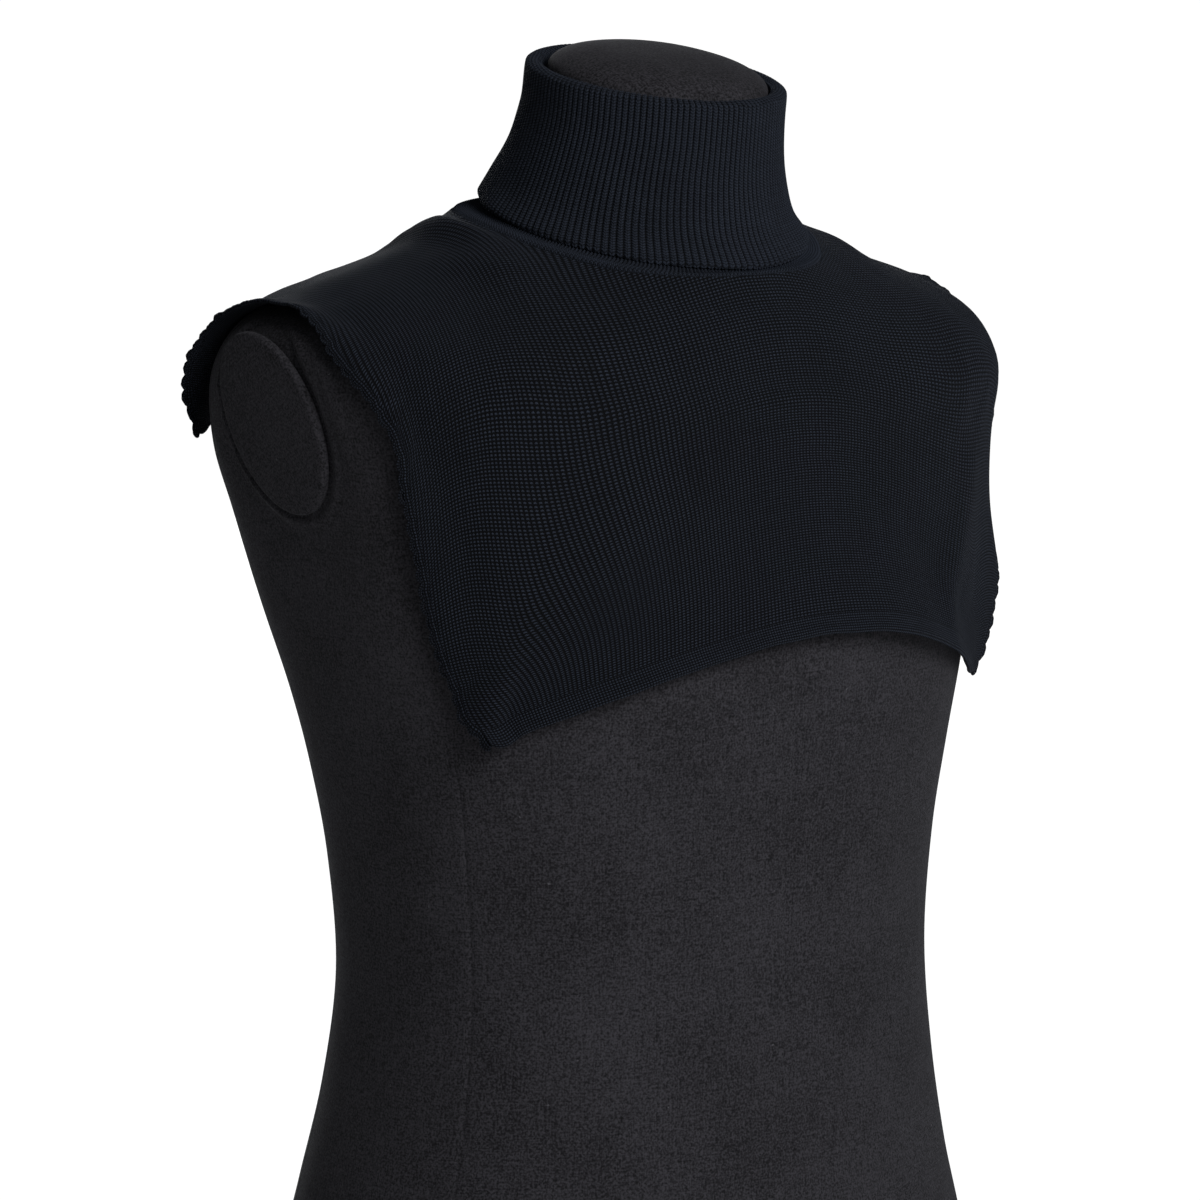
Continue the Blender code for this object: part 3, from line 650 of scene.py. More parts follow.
class Effects:
    """The node groups that the finishes share, each built once."""

    def __init__(self) -> None:
        """Builds the groups."""
        self.stitches = self.build_stitches()
        self.yarn = self.build_yarn()
        self.threads = self.build_threads()
        self.lint = self.build_lint()

    @staticmethod
    def build_stitches() -> bpy.types.NodeTree:
        """Plain stitches: a column of slanted pairs for each wale, a pair for each course, and painted shade
        in the low places between them.

        Returns:
            The node group.
        """
        tree, wiring, entry, leave = new_group(
            "plain_stitches",
            {"Flat": None, "Wale": 0.002, "Course": 0.0014, "Slant": 1.0, "Split": 0.0, "Open": 0.25},
            ("Height", "Painted Gap Shade"),
        )
        split = wiring.node("ShaderNodeSeparateXYZ")
        wiring.feed(split.inputs[0], entry["Flat"])
        column = wiring.math("DIVIDE", split.outputs[0], entry["Wale"])
        row = wiring.math("DIVIDE", split.outputs[1], entry["Course"])
        aside = wiring.math("ABSOLUTE", wiring.math("SUBTRACT", wiring.math("FRACT", column), 0.5))
        column_hump = wiring.math("COSINE", wiring.math("MULTIPLY", aside, math.pi))
        column_hump = wiring.math("POWER", column_hump, 0.9)
        split_line = wiring.math("SUBTRACT", 1.0, wiring.ramp(aside, 0.0, 0.12))
        split_line = wiring.math("MULTIPLY", split_line, entry["Split"])
        column_hump = wiring.math("SUBTRACT", column_hump, split_line)
        slanted = wiring.math("MULTIPLY_ADD", aside, entry["Slant"], row)
        row_hump = wiring.wave(slanted)
        height = wiring.math("MULTIPLY", column_hump, wiring.math("MULTIPLY_ADD", row_hump, 0.80, 0.20))
        wiring.feed(leave["Height"], height)
        # painted shade: the gap output is high where the stitches' height is low, and darkens the colour there
        closed = wiring.ramp(height, entry["Open"], wiring.math("ADD", entry["Open"], 0.70))
        wiring.feed(leave["Painted Gap Shade"], wiring.math("SUBTRACT", 1.0, closed))
        return tree

    @staticmethod
    def build_yarn() -> bpy.types.NodeTree:
        """Spun yarn: fine fibres, uneven thickness from stitch to stitch, and slow cloudy dye.

        Returns:
            The node group.
        """
        tree, wiring, entry, leave = new_group("spun_yarn", {"Place": None, "Flat": None}, ("Height", "Tone"))
        fibres = wiring.noise(entry["Place"], scale=2600.0, detail=2.0)
        lumps = wiring.noise(entry["Flat"], scale=420.0, detail=2.0)
        courses = wiring.noise(wiring.stretched(entry["Flat"], (30.0, 620.0, 1.0)), scale=1.0, detail=1.0)
        wales = wiring.noise(wiring.stretched(entry["Flat"], (430.0, 24.0, 1.0)), scale=1.0, detail=1.0)
        clouds = wiring.noise(entry["Place"], scale=22.0, detail=3.0)
        wiring.feed(leave["Height"], wiring.math("MULTIPLY_ADD", lumps, 0.6, fibres))
        streaks = wiring.math("MULTIPLY", wiring.math("ADD", courses, wales), 0.5)
        tone = wiring.math("MULTIPLY_ADD", fibres, 0.30, wiring.math("MULTIPLY", lumps, 0.35))
        tone = wiring.math("MULTIPLY_ADD", streaks, 0.55, tone)
        wiring.feed(leave["Tone"], wiring.math("MULTIPLY_ADD", clouds, 0.30, tone))
        return tree

    @staticmethod
    def build_threads() -> bpy.types.NodeTree:
        """Fine jersey: a close grid of threads, with thicker threads here and there both ways.

        Returns:
            The node group.
        """
        tree, wiring, entry, leave = new_group(
            "fine_threads", {"Flat": None, "Place": None, "Pitch": 0.0006}, ("Height", "Tone")
        )
        split = wiring.node("ShaderNodeSeparateXYZ")
        wiring.feed(split.inputs[0], entry["Flat"])
        across = wiring.wave(wiring.math("DIVIDE", split.outputs[0], entry["Pitch"]))
        along = wiring.wave(wiring.math("DIVIDE", split.outputs[1], entry["Pitch"]))
        grid = wiring.math("MULTIPLY", across, along)
        level = wiring.noise(wiring.stretched(entry["Flat"], (60.0, 1500.0, 1.0)), scale=1.0, detail=2.0)
        upright = wiring.noise(wiring.stretched(entry["Flat"], (1500.0, 60.0, 1.0)), scale=1.0, detail=2.0)
        speckle = wiring.noise(entry["Place"], scale=950.0, detail=2.0)
        clouds = wiring.noise(entry["Place"], scale=18.0, detail=3.0)
        slubs = wiring.math("ADD", level, upright)
        wiring.feed(leave["Height"], wiring.math("MULTIPLY_ADD", grid, 0.5, slubs))
        tone = wiring.math("MULTIPLY_ADD", slubs, 0.30, wiring.math("MULTIPLY", speckle, 1.10))
        tone = wiring.math("MULTIPLY_ADD", grid, 0.12, tone)
        wiring.feed(leave["Tone"], wiring.math("MULTIPLY_ADD", clouds, 0.25, tone))
        return tree

    @staticmethod
    def build_lint() -> bpy.types.NodeTree:
        """Sparse pale specks of lint that cling to cloth.

        Returns:
            The node group.
        """
        tree, wiring, entry, leave = new_group("clinging_lint", {"Place": None, "Size": 0.10}, ("Mask",))
        cells = wiring.node("ShaderNodeTexVoronoi")
        warp = wiring.node("ShaderNodeVectorMath", operation="MULTIPLY_ADD")
        haze = wiring.node("ShaderNodeTexNoise")
        wiring.feed(haze.inputs["Vector"], entry["Place"])
        haze.inputs["Scale"].default_value = 900.0
        wiring.feed(warp.inputs[0], haze.outputs["Color"])
        warp.inputs[1].default_value = (0.0022, 0.0022, 0.0022)
        wiring.feed(warp.inputs[2], entry["Place"])
        wiring.feed(cells.inputs["Vector"], warp.outputs[0])
        cells.inputs["Scale"].default_value = 150.0
        split = wiring.node("ShaderNodeSeparateXYZ")
        wiring.feed(split.inputs[0], cells.outputs["Color"])
        near = wiring.math("LESS_THAN", cells.outputs["Distance"], entry["Size"])
        chosen = wiring.math("GREATER_THAN", split.outputs[0], 0.93)
        wiring.feed(leave["Mask"], wiring.math("MULTIPLY", near, chosen))
        return tree


# ---------------------------------------------------------------- finishes


Colour = tuple[float, float, float]


def place_group(wiring: Wiring, tree: bpy.types.NodeTree, **values: object) -> bpy.types.Node:
    """Places a node group in a material.

    Args:
        wiring: The material's wiring.
        tree: The group.
        values: Its inputs' values or sources, by name.

    Returns:
        The group's node.
    """
    made = wiring.node("ShaderNodeGroup", node_tree=tree)
    for name, value in values.items():
        wiring.feed(made.inputs[name], value)
    return made


def shade(wiring: Wiring, dark: Colour, light: Colour, share: object) -> bpy.types.NodeSocket:
    """Mixes two colours.

    Args:
        wiring: The material's wiring.
        dark: The colour at 0.
        light: The colour at 1.
        share: The mask between them.

    Returns:
        The mixed colour's socket.
    """
    mix = wiring.node("ShaderNodeMix", data_type="RGBA", clamp_factor=True)
    wiring.feed(mix.inputs[0], share)
    for socket, colour in ((mix.inputs[6], dark), (mix.inputs[7], light)):
        wiring.feed(socket, colour if isinstance(colour, bpy.types.NodeSocket) else (*colour, 1.0))
    return mix.outputs[2]


def cloth_shader(name: str, roughness: float, nap: Colour, gloss: float) -> tuple:
    """Starts a cloth material with a faint nap.

    Args:
        name: The material's name.
        roughness: Its roughness.
        nap: The nap's colour.
        gloss: Its specular level.

    Returns:
        The material, its wiring and its shader node.
    """
    made = bpy.data.materials.new(name)
    made.use_nodes = True
    shader = made.node_tree.nodes["Principled BSDF"]
    shader.inputs["Roughness"].default_value = roughness
    shader.inputs["Sheen Weight"].default_value = 0.03
    shader.inputs["Sheen Roughness"].default_value = 0.5
    shader.inputs["Sheen Tint"].default_value = (*nap, 1.0)
    shader.inputs["Specular IOR Level"].default_value = gloss
    return made, Wiring(made.node_tree), shader


def raise_bump(wiring: Wiring, shader: bpy.types.Node, layers: Sequence[tuple]) -> None:
    """Raises a material's relief.

    Args:
        wiring: The material's wiring.
        shader: The shader that takes the relief.
        layers: Pairs of a height source and the distance in metres that its full height stands for.
    """
    below = None
    for source, distance in layers:
        bump = wiring.node("ShaderNodeBump")
        bump.inputs["Strength"].default_value = 1.0
        bump.inputs["Distance"].default_value = distance
        wiring.feed(bump.inputs["Height"], source)
        if below is not None:
            wiring.feed(bump.inputs["Normal"], below)
        below = bump.outputs[0]
    wiring.feed(shader.inputs["Normal"], below)


@dataclass(frozen=True)
class KnitFinish:
    """Navy wool knit: stitches in columns, with painted shade between them and a painted highlight on their
    crowns, with a soft nap.
    """

    name: str
    slot: str
    wale: float
    course: float
    slant: float
    open: float
    split: float = 0.0
    # the first colour is painted shade for the gaps between stitches; the second is the yarn's colour
    # brightened as a painted highlight on the stitch crowns
    painted_gap_shade: Colour = (0.0012, 0.0014, 0.0018)
    yarn_and_painted_highlight: Colour = (0.0210, 0.0265, 0.0380)
    nap: Colour = (0.55, 0.65, 0.85)
    lint: Colour = (0.07, 0.075, 0.085)
    lint_size: float = 0.055
    lint_strength: float = 0.35
    contrast: float = 2.2
    darkening: float = 0.65
    stitch_relief: float = 0.00045
    yarn_relief: float = 0.00012

    def cloth(self, effects: Effects) -> Cloth:
        """Builds the material on the shared node groups.

        Args:
            effects: The shared node groups.

        Returns:
            The material with its slot.
        """
        made, wiring, shader = cloth_shader(self.name, 0.92, self.nap, gloss=0.10)
        flat = wiring.node("ShaderNodeUVMap", uv_map="flat").outputs[0]
        place = wiring.node("ShaderNodeTexCoord").outputs["Object"]
        size = {"Wale": self.wale, "Course": self.course, "Slant": self.slant}
        stitches = place_group(wiring, effects.stitches, Flat=flat, Split=self.split, Open=self.open, **size)
        yarn = place_group(wiring, effects.yarn, Place=place, Flat=flat)
        lint = place_group(wiring, effects.lint, Place=place, Size=self.lint_size)
        tone = wiring.math("MULTIPLY_ADD", yarn.outputs["Tone"], self.contrast, -self.darkening)
        # the yarn's own tone, cut off by the painted shade in the gaps between stitches, gives the mix between
        # the two colours
        lit = wiring.math("MULTIPLY", wiring.math("SUBTRACT", 1.0, stitches.outputs["Painted Gap Shade"]), tone)
        colour = shade(wiring, self.painted_gap_shade, self.yarn_and_painted_highlight, lit)
        specks = wiring.math("MULTIPLY", lint.outputs["Mask"], self.lint_strength)
        wiring.feed(shader.inputs["Base Color"], shade(wiring, colour, self.lint, specks))
        yarn_layer = (yarn.outputs["Height"], self.yarn_relief)
        raise_bump(wiring, shader, (yarn_layer, (stitches.outputs["Height"], self.stitch_relief)))
        return Cloth(made, self.slot)


@dataclass(frozen=True)
class JerseyFinish:
    """Black jersey, stretched over the form: close threads, slubs and a little lint."""

    name: str
    slot: str
    pitch: float = 0.0006
    dark: Colour = (0.0045, 0.0044, 0.0050)
    pale: Colour = (0.0375, 0.0365, 0.0415)
    nap: Colour = (0.8, 0.8, 0.85)
    lint: Colour = (0.11, 0.11, 0.12)
    lint_size: float = 0.075
    lint_strength: float = 0.5
    darkest: float = 0.72
    palest: float = 1.30
    relief: float = 0.00010

    def cloth(self, effects: Effects) -> Cloth:
        """Builds the material on the shared node groups.

        Args:
            effects: The shared node groups.

        Returns:
            The material with its slot.
        """
        made, wiring, shader = cloth_shader(self.name, 0.88, self.nap, gloss=0.14)
        flat = wiring.node("ShaderNodeUVMap", uv_map="flat").outputs[0]
        place = wiring.node("ShaderNodeTexCoord").outputs["Object"]
        threads = place_group(wiring, effects.threads, Flat=flat, Place=place, Pitch=self.pitch)
        lint = place_group(wiring, effects.lint, Place=place, Size=self.lint_size)
        tone = wiring.ramp(threads.outputs["Tone"], self.darkest, self.palest)
        colour = shade(wiring, self.dark, self.pale, tone)
        specks = wiring.math("MULTIPLY", lint.outputs["Mask"], self.lint_strength)
        wiring.feed(shader.inputs["Base Color"], shade(wiring, colour, self.lint, specks))
        raise_bump(wiring, shader, ((threads.outputs["Height"], self.relief),))
        return Cloth(made, self.slot)


@dataclass(frozen=True)
class FloorFinish:
    """A plain pale floor that looks evenly lit to the camera."""

    name: str = "pale_floor"
    colour: Colour = (0.86, 0.86, 0.86)
    glow: float = 1.16
    glow_share: float = 0.88

    def material(self) -> bpy.types.Material:
        """Builds the material.

        Returns:
            The material.
        """
        made = bpy.data.materials.new(self.name)
        made.use_nodes = True
        wiring = Wiring(made.node_tree)
        shader = made.node_tree.nodes["Principled BSDF"]
        shader.inputs["Base Color"].default_value = (*self.colour, 1.0)
        shader.inputs["Roughness"].default_value = 0.9
        glow = wiring.node("ShaderNodeEmission")
        glow.inputs["Strength"].default_value = self.glow
        sight = wiring.node("ShaderNodeLightPath")
        both = wiring.node("ShaderNodeMixShader")
        wiring.feed(both.inputs[0], wiring.math("MULTIPLY", sight.outputs["Is Camera Ray"], self.glow_share))
        wiring.feed(both.inputs[1], shader.outputs[0])
        wiring.feed(both.inputs[2], glow.outputs[0])
        wiring.feed(made.node_tree.nodes["Material Output"].inputs[0], both.outputs[0])
        return made


# ---------------------------------------------------------------- the dress form


class Side(Enum):
    """The wearer's two sides."""

    RIGHT = -1
    LEFT = 1

    @property
    def word(self) -> str:
        """The side's name in lower case."""
        return self.name.lower()


@dataclass
class Armhole:
    """The nearly flat oval face on one side of the form, and the plate that covers its middle."""

    side: Side
    half_span: float = 0.1990
    lean: float = 0.17
    foot: float = 0.420
    give: float = 3.0
    plate_seat: float = 0.0004
    plate_height: float = 0.477
    plate_depth: float = 0.0188
    half_length: float = 0.0455
    half_width: float = 0.0333
    turn: float = math.radians(29)
    groove_reach: float = 0.0008
    groove_width: float = 0.0012
    groove_depth: float = 0.0007
    ring_reach: float = 0.0050
    ring_width: float = 0.0024
    ring_rise: float = 0.0031
    ring_turn: float = math.radians(50)
    ridge_reach: float = 0.0130
    ridge_width: float = 0.0050
    ridge_rise: float = 0.0016
    ridge_turn: float = math.radians(-70)

    def limit(self, height: np.ndarray) -> np.ndarray:
        """How far the face lies from the middle plane at a height."""
        below = np.maximum(0.0, self.foot - height)
        return self.half_span + self.lean * (height - self.plate_height) + self.give * below**2

    def axes(self) -> tuple[np.ndarray, np.ndarray, np.ndarray]:
        """The plate's length axis, its width axis and the way out of the form.

        Returns:
            The three unit vectors.
        """
        sign = self.side.value
        up = unit(np.array([sign * self.lean, 0.0, 1.0]))
        outward = unit(np.array([sign, 0.0, -self.lean]))
        back = np.array([0.0, 1.0, 0.0])
        length_axis = up * math.cos(self.turn) + back * math.sin(self.turn)
        width_axis = back * math.cos(self.turn) - up * math.sin(self.turn)
        return length_axis, width_axis, outward

    def centre(self) -> np.ndarray:
        """The middle of the plate's seat."""
        reach = self.side.value * float(self.limit(np.array(self.plate_height)))
        return np.array([reach, self.plate_depth, self.plate_height])

    def pipe(self, points: np.ndarray) -> np.ndarray:
        """Shapes the jersey round the plate: a groove, a soft ring, and a broad ridge in front.

        Args:
            points: The torso's points.

        Returns:
            The points, moved along the way out of the form.
        """
        length_axis, width_axis, outward = self.axes()
        away = points - self.centre()
        along, aside = away @ length_axis, away @ width_axis
        oval = np.sqrt((along / self.half_length) ** 2 + (aside / self.half_width) ** 2)
        reach = np.sqrt(along**2 + aside**2) * (1 - 1 / np.maximum(oval, 1e-6))
        near = (np.abs(away @ outward) < 0.02) & (oval > 0.9)
        turned = np.arctan2(aside, along)
        strength = 0.35 + 0.65 * soft_step((np.cos(turned - self.ring_turn) + 0.6) / 1.2)
        ahead = soft_step((np.cos(turned - self.ridge_turn) - 0.2) / 0.6)
        rise = self.ring_rise * strength * hump(reach, self.ring_reach, self.ring_width)
        rise = rise + self.ridge_rise * ahead * hump(reach, self.ridge_reach, self.ridge_width)
        rise = rise - self.groove_depth * hump(reach, self.groove_reach, self.groove_width)
        return points + (rise * near)[..., None] * outward


@dataclass
class DressForm:
    """The limbless form: a jersey-covered torso with its neck, a neck cap and two armhole plates."""

    softness: float = 0.005
    mean_radius: float = 0.16
    seam_turns: tuple[float, ...] = (0.0, 64.0, 116.0, 180.0, 244.0, 296.0)
    seam_depth: float = 0.00035
    seam_half_width: float = 0.0008
    seam_room: float = 1.6
    side_turns: tuple[float, float] = (72.0, 128.0)
    side_crowding: float = 1.5
    side_columns: int = 90
    front_columns: int = 46
    back_columns: int = 64
    plate_band: tuple[float, float] = (0.420, 0.532)
    row_counts: tuple[int, int, int] = (78, 108, 44)
    tree_columns: int = 240
    tree_rows: int = 170
    lid_columns: int = 128
    lid_ripple: float = 0.00012
    lid_ripple_pitch: float = 0.035
    cap_overhang: float = 0.0006
    cap_seat: float = 0.0003

    def __post_init__(self) -> None:
        """Makes the armholes and the surface that cloth is laid on."""
        self.armholes = {side: Armhole(side) for side in Side}
        turns = np.linspace(0.0, 2 * math.pi, self.tree_columns, endpoint=False)
        shares = even_shares(FORM_RINGS, self.tree_rows, (0, 1))
        cells = self.surface(shares, turns)
        draft = MeshDraft()
        draft.weave(draft.place(cells), np.zeros((self.tree_rows, self.tree_columns + 1, 2)), closed=True)
        faces = draft.corners[0][:, ::-1].tolist()
        self.tree = BVHTree.FromPolygons(cells.reshape(-1, 3).tolist(), faces)

    def surface(self, shares: np.ndarray, turns: np.ndarray) -> np.ndarray:
        """Reads the form's surface.

        Args:
            shares: Shares of the table of rings, from the underside up.
            turns: Angles from the front that grow towards the wearer's left.

        Returns:
            The surface's points, a row for each share.
        """
        rows = smooth_rows(FORM_RINGS, shares)[:, None, :]
        height, half_width, front, back, tilt, front_square, back_square, middle = np.moveaxis(rows, 2, 0)
        cosine, sine = np.cos(turns)[None, :], np.sin(turns)[None, :]
        power = 2.0 / np.where(cosine > 0, front_square, back_square)
        lateral = half_width * signed_power(sine, power)
        half_depth = np.where(cosine > 0, front + middle, back - middle)
        depth = middle - half_depth * signed_power(cosine, power)
        lean = np.radians(tilt)
        level = height + depth * np.sin(lean)
        limit = self.armholes[Side.LEFT].limit(level)
        reach = np.abs(lateral)
        spread = np.hypot(limit - reach, self.softness)
        lateral = np.copysign(np.maximum(0.0, (limit + reach - spread) / 2), lateral)
        return np.stack([lateral, depth * np.cos(lean), level], axis=2)

    def clear(self, points: np.ndarray, clearance: float) -> np.ndarray:
        """Keeps cloth clear of the form.

        Args:
            points: Points of the cloth's inner face, of any shape.
            clearance: The least room between them and the form.

        Returns:
            The points, moved out where they lay nearer or inside.
        """
        cleared = points.reshape(-1, 3).copy()
        for index, place in enumerate(cleared):
            point = Vector(place)
            nearest, normal, _, distance = self.tree.find_nearest(point)
            away = point - nearest
            inside = away.dot(normal) < 0
            if inside or distance < clearance:
                direction = normal if inside or distance < 1e-6 else away.normalized()
                cleared[index] = nearest + direction * clearance
        return cleared.reshape(points.shape)

    def from_seam(self, degrees: np.ndarray) -> np.ndarray:
        """How many degrees each angle is from the nearest jersey seam."""
        return np.min([np.abs((degrees - turn + 180) % 360 - 180) for turn in self.seam_turns], axis=0)

    def torso_turns(self) -> np.ndarray:
        """Angles of the torso's columns: close together at the armholes and at each jersey seam.

        Returns:
            The angles in radians, in rising order.
        """
        start, end = self.side_turns
        ends = signed_power(np.cos(np.radians([start, end])), 1 / self.side_crowding)
        left, right = (
            np.linspace(first, last, self.side_columns, endpoint=False) for first, last in (ends, ends[::-1])
        )
        turns = (
            np.linspace(0.0, start, self.front_columns, endpoint=False),
            np.degrees(np.arccos(signed_power(left, self.side_crowding))),
            np.linspace(end, 360.0 - end, self.back_columns, endpoint=False),
            360.0 - np.degrees(np.arccos(signed_power(right, self.side_crowding))),
            np.linspace(360.0 - start, 360.0, self.front_columns, endpoint=False),
        )
        plain = np.concatenate(turns)
        spread = math.degrees(self.seam_half_width / self.mean_radius)
        beside = [np.array([turn - spread, turn, turn + spread]) % 360 for turn in self.seam_turns]
        kept = plain[self.from_seam(plain) > self.seam_room * spread]
        return np.radians(np.sort(np.concatenate([kept, *beside])))

    def torso_shares(self) -> np.ndarray:
        """Shares of the torso's rows: close together beside the armhole plates.

        Returns:
            Shares of the table of rings, in rising order.
        """
        low, high = self.plate_band
        below, beside, above = self.row_counts
        heights = np.concatenate(
            [
                np.linspace(0.0, low, below, endpoint=False),
                np.linspace(low, high, beside, endpoint=False),
                np.linspace(high, FORM_RINGS[-1].height, above),
            ]
        )
        fine = np.linspace(0.0, 1.0, 600)
        return np.interp(heights, smooth_rows(FORM_RINGS, fine)[:, 0], fine)

    def build_torso(self, cloth: Cloth) -> None:
        """Builds the torso's jersey skin, with its upright seams and the ring round each plate.

        Args:
            cloth: Its material and slot.
        """
        turns = self.torso_turns()
        cells = self.surface(self.torso_shares(), turns)
        on_seam = self.from_seam(np.degrees(turns)) < 0.02
        sink = np.tile(self.seam_depth * on_seam, (len(cells), 1))
        sink[:2] = 0.0
        cells = cells + grid_normals(cells, closed=True) * sink[..., None]
        for armhole in self.armholes.values():
            cells = armhole.pipe(cells)
        cells[0, :, 2] = 0.0
        run = run_along(cells)
        flat = np.stack([np.broadcast_to(turns * self.mean_radius, run.shape), run], axis=2)
        last = flat[:, :1].copy()
        last[..., 0] = 2 * math.pi * self.mean_radius
        draft = MeshDraft()
        draft.add_tube(cells, np.concatenate([flat, last], axis=1), ends=cells[..., :2])
        draft.make("torso_jersey", "form_torso", cloth)

    def build_lid(
        self,
        name: str,
        profile: Sequence[LidRow],
        seat: np.ndarray,
        axes: tuple[np.ndarray, np.ndarray, np.ndarray],
        halves: tuple[float, float],
        cloth: Cloth,
    ) -> None:
        """Builds a rounded oval lid.

        Args:
            name: The piece's name.
            profile: The lid's rows, from its seat to its middle.
            seat: The middle of its seat.
            axes: Its length axis, its width axis and the way out.
            halves: Its half length and half width.
            cloth: Its material and slot.
        """
        length_axis, width_axis, outward = axes
        rows = smooth_rows(profile, np.linspace(0.0, 1.0, 4 * len(profile)))
        turns = np.linspace(0.0, 2 * math.pi, self.lid_columns, endpoint=False)
        along = halves[0] * rows[:, :1] * np.cos(turns)
        aside = halves[1] * rows[:, :1] * np.sin(turns)
        cells = seat + along[..., None] * length_axis + aside[..., None] * width_axis
        cells = cells + rows[:, 1][:, None, None] * outward
        ripple = soft_waves(cells, self.lid_ripple_pitch, SEED) * self.lid_ripple
        ripple[0] = 0.0
        cells = cells + ripple[..., None] * outward
        flat = np.stack([aside, along], axis=2)
        draft = MeshDraft()
        draft.add_tube(cells, np.concatenate([flat, flat[:, :1]], axis=1))
        draft.make(name, f"form_{name}", cloth)

    def build_plates(self, cloth: Cloth) -> None:
        """Builds both armhole plates.

        Args:
            cloth: Its material and slot.
        """
        for side, armhole in self.armholes.items():
            axes = armhole.axes()
            seat = armhole.centre() - axes[2] * armhole.plate_seat
            halves = (armhole.half_length, armhole.half_width)
            self.build_lid(f"armhole_plate_{side.word}", PLATE_PROFILE, seat, axes, halves, cloth)

    def build_neck_cap(self, cloth: Cloth) -> None:
        """Builds the lid on the neck stump.

        Args:
            cloth: Its material and slot.
        """
        top = FORM_RINGS[-1]
        lean = math.radians(top.tilt)
        middle = (top.back - top.front) / 2
        outward = np.array([0.0, -math.sin(lean), math.cos(lean)])
        length_axis = np.array([0.0, math.cos(lean), math.sin(lean)])
        seat = np.array([0.0, middle * math.cos(lean), top.height + middle * math.sin(lean)])
        seat = seat + outward * self.cap_seat
        halves = ((top.front + top.back) / 2 + self.cap_overhang, top.half_width + self.cap_overhang)
        axes = (length_axis, np.array([1.0, 0.0, 0.0]), outward)
        self.build_lid("neck_cap", CAP_PROFILE, seat, axes, halves, cloth)


# ---------------------------------------------------------------- the flaps


class Flap(Enum):
    """The two flaps of the neck warmer."""

    FRONT = "front"
    BACK = "back"


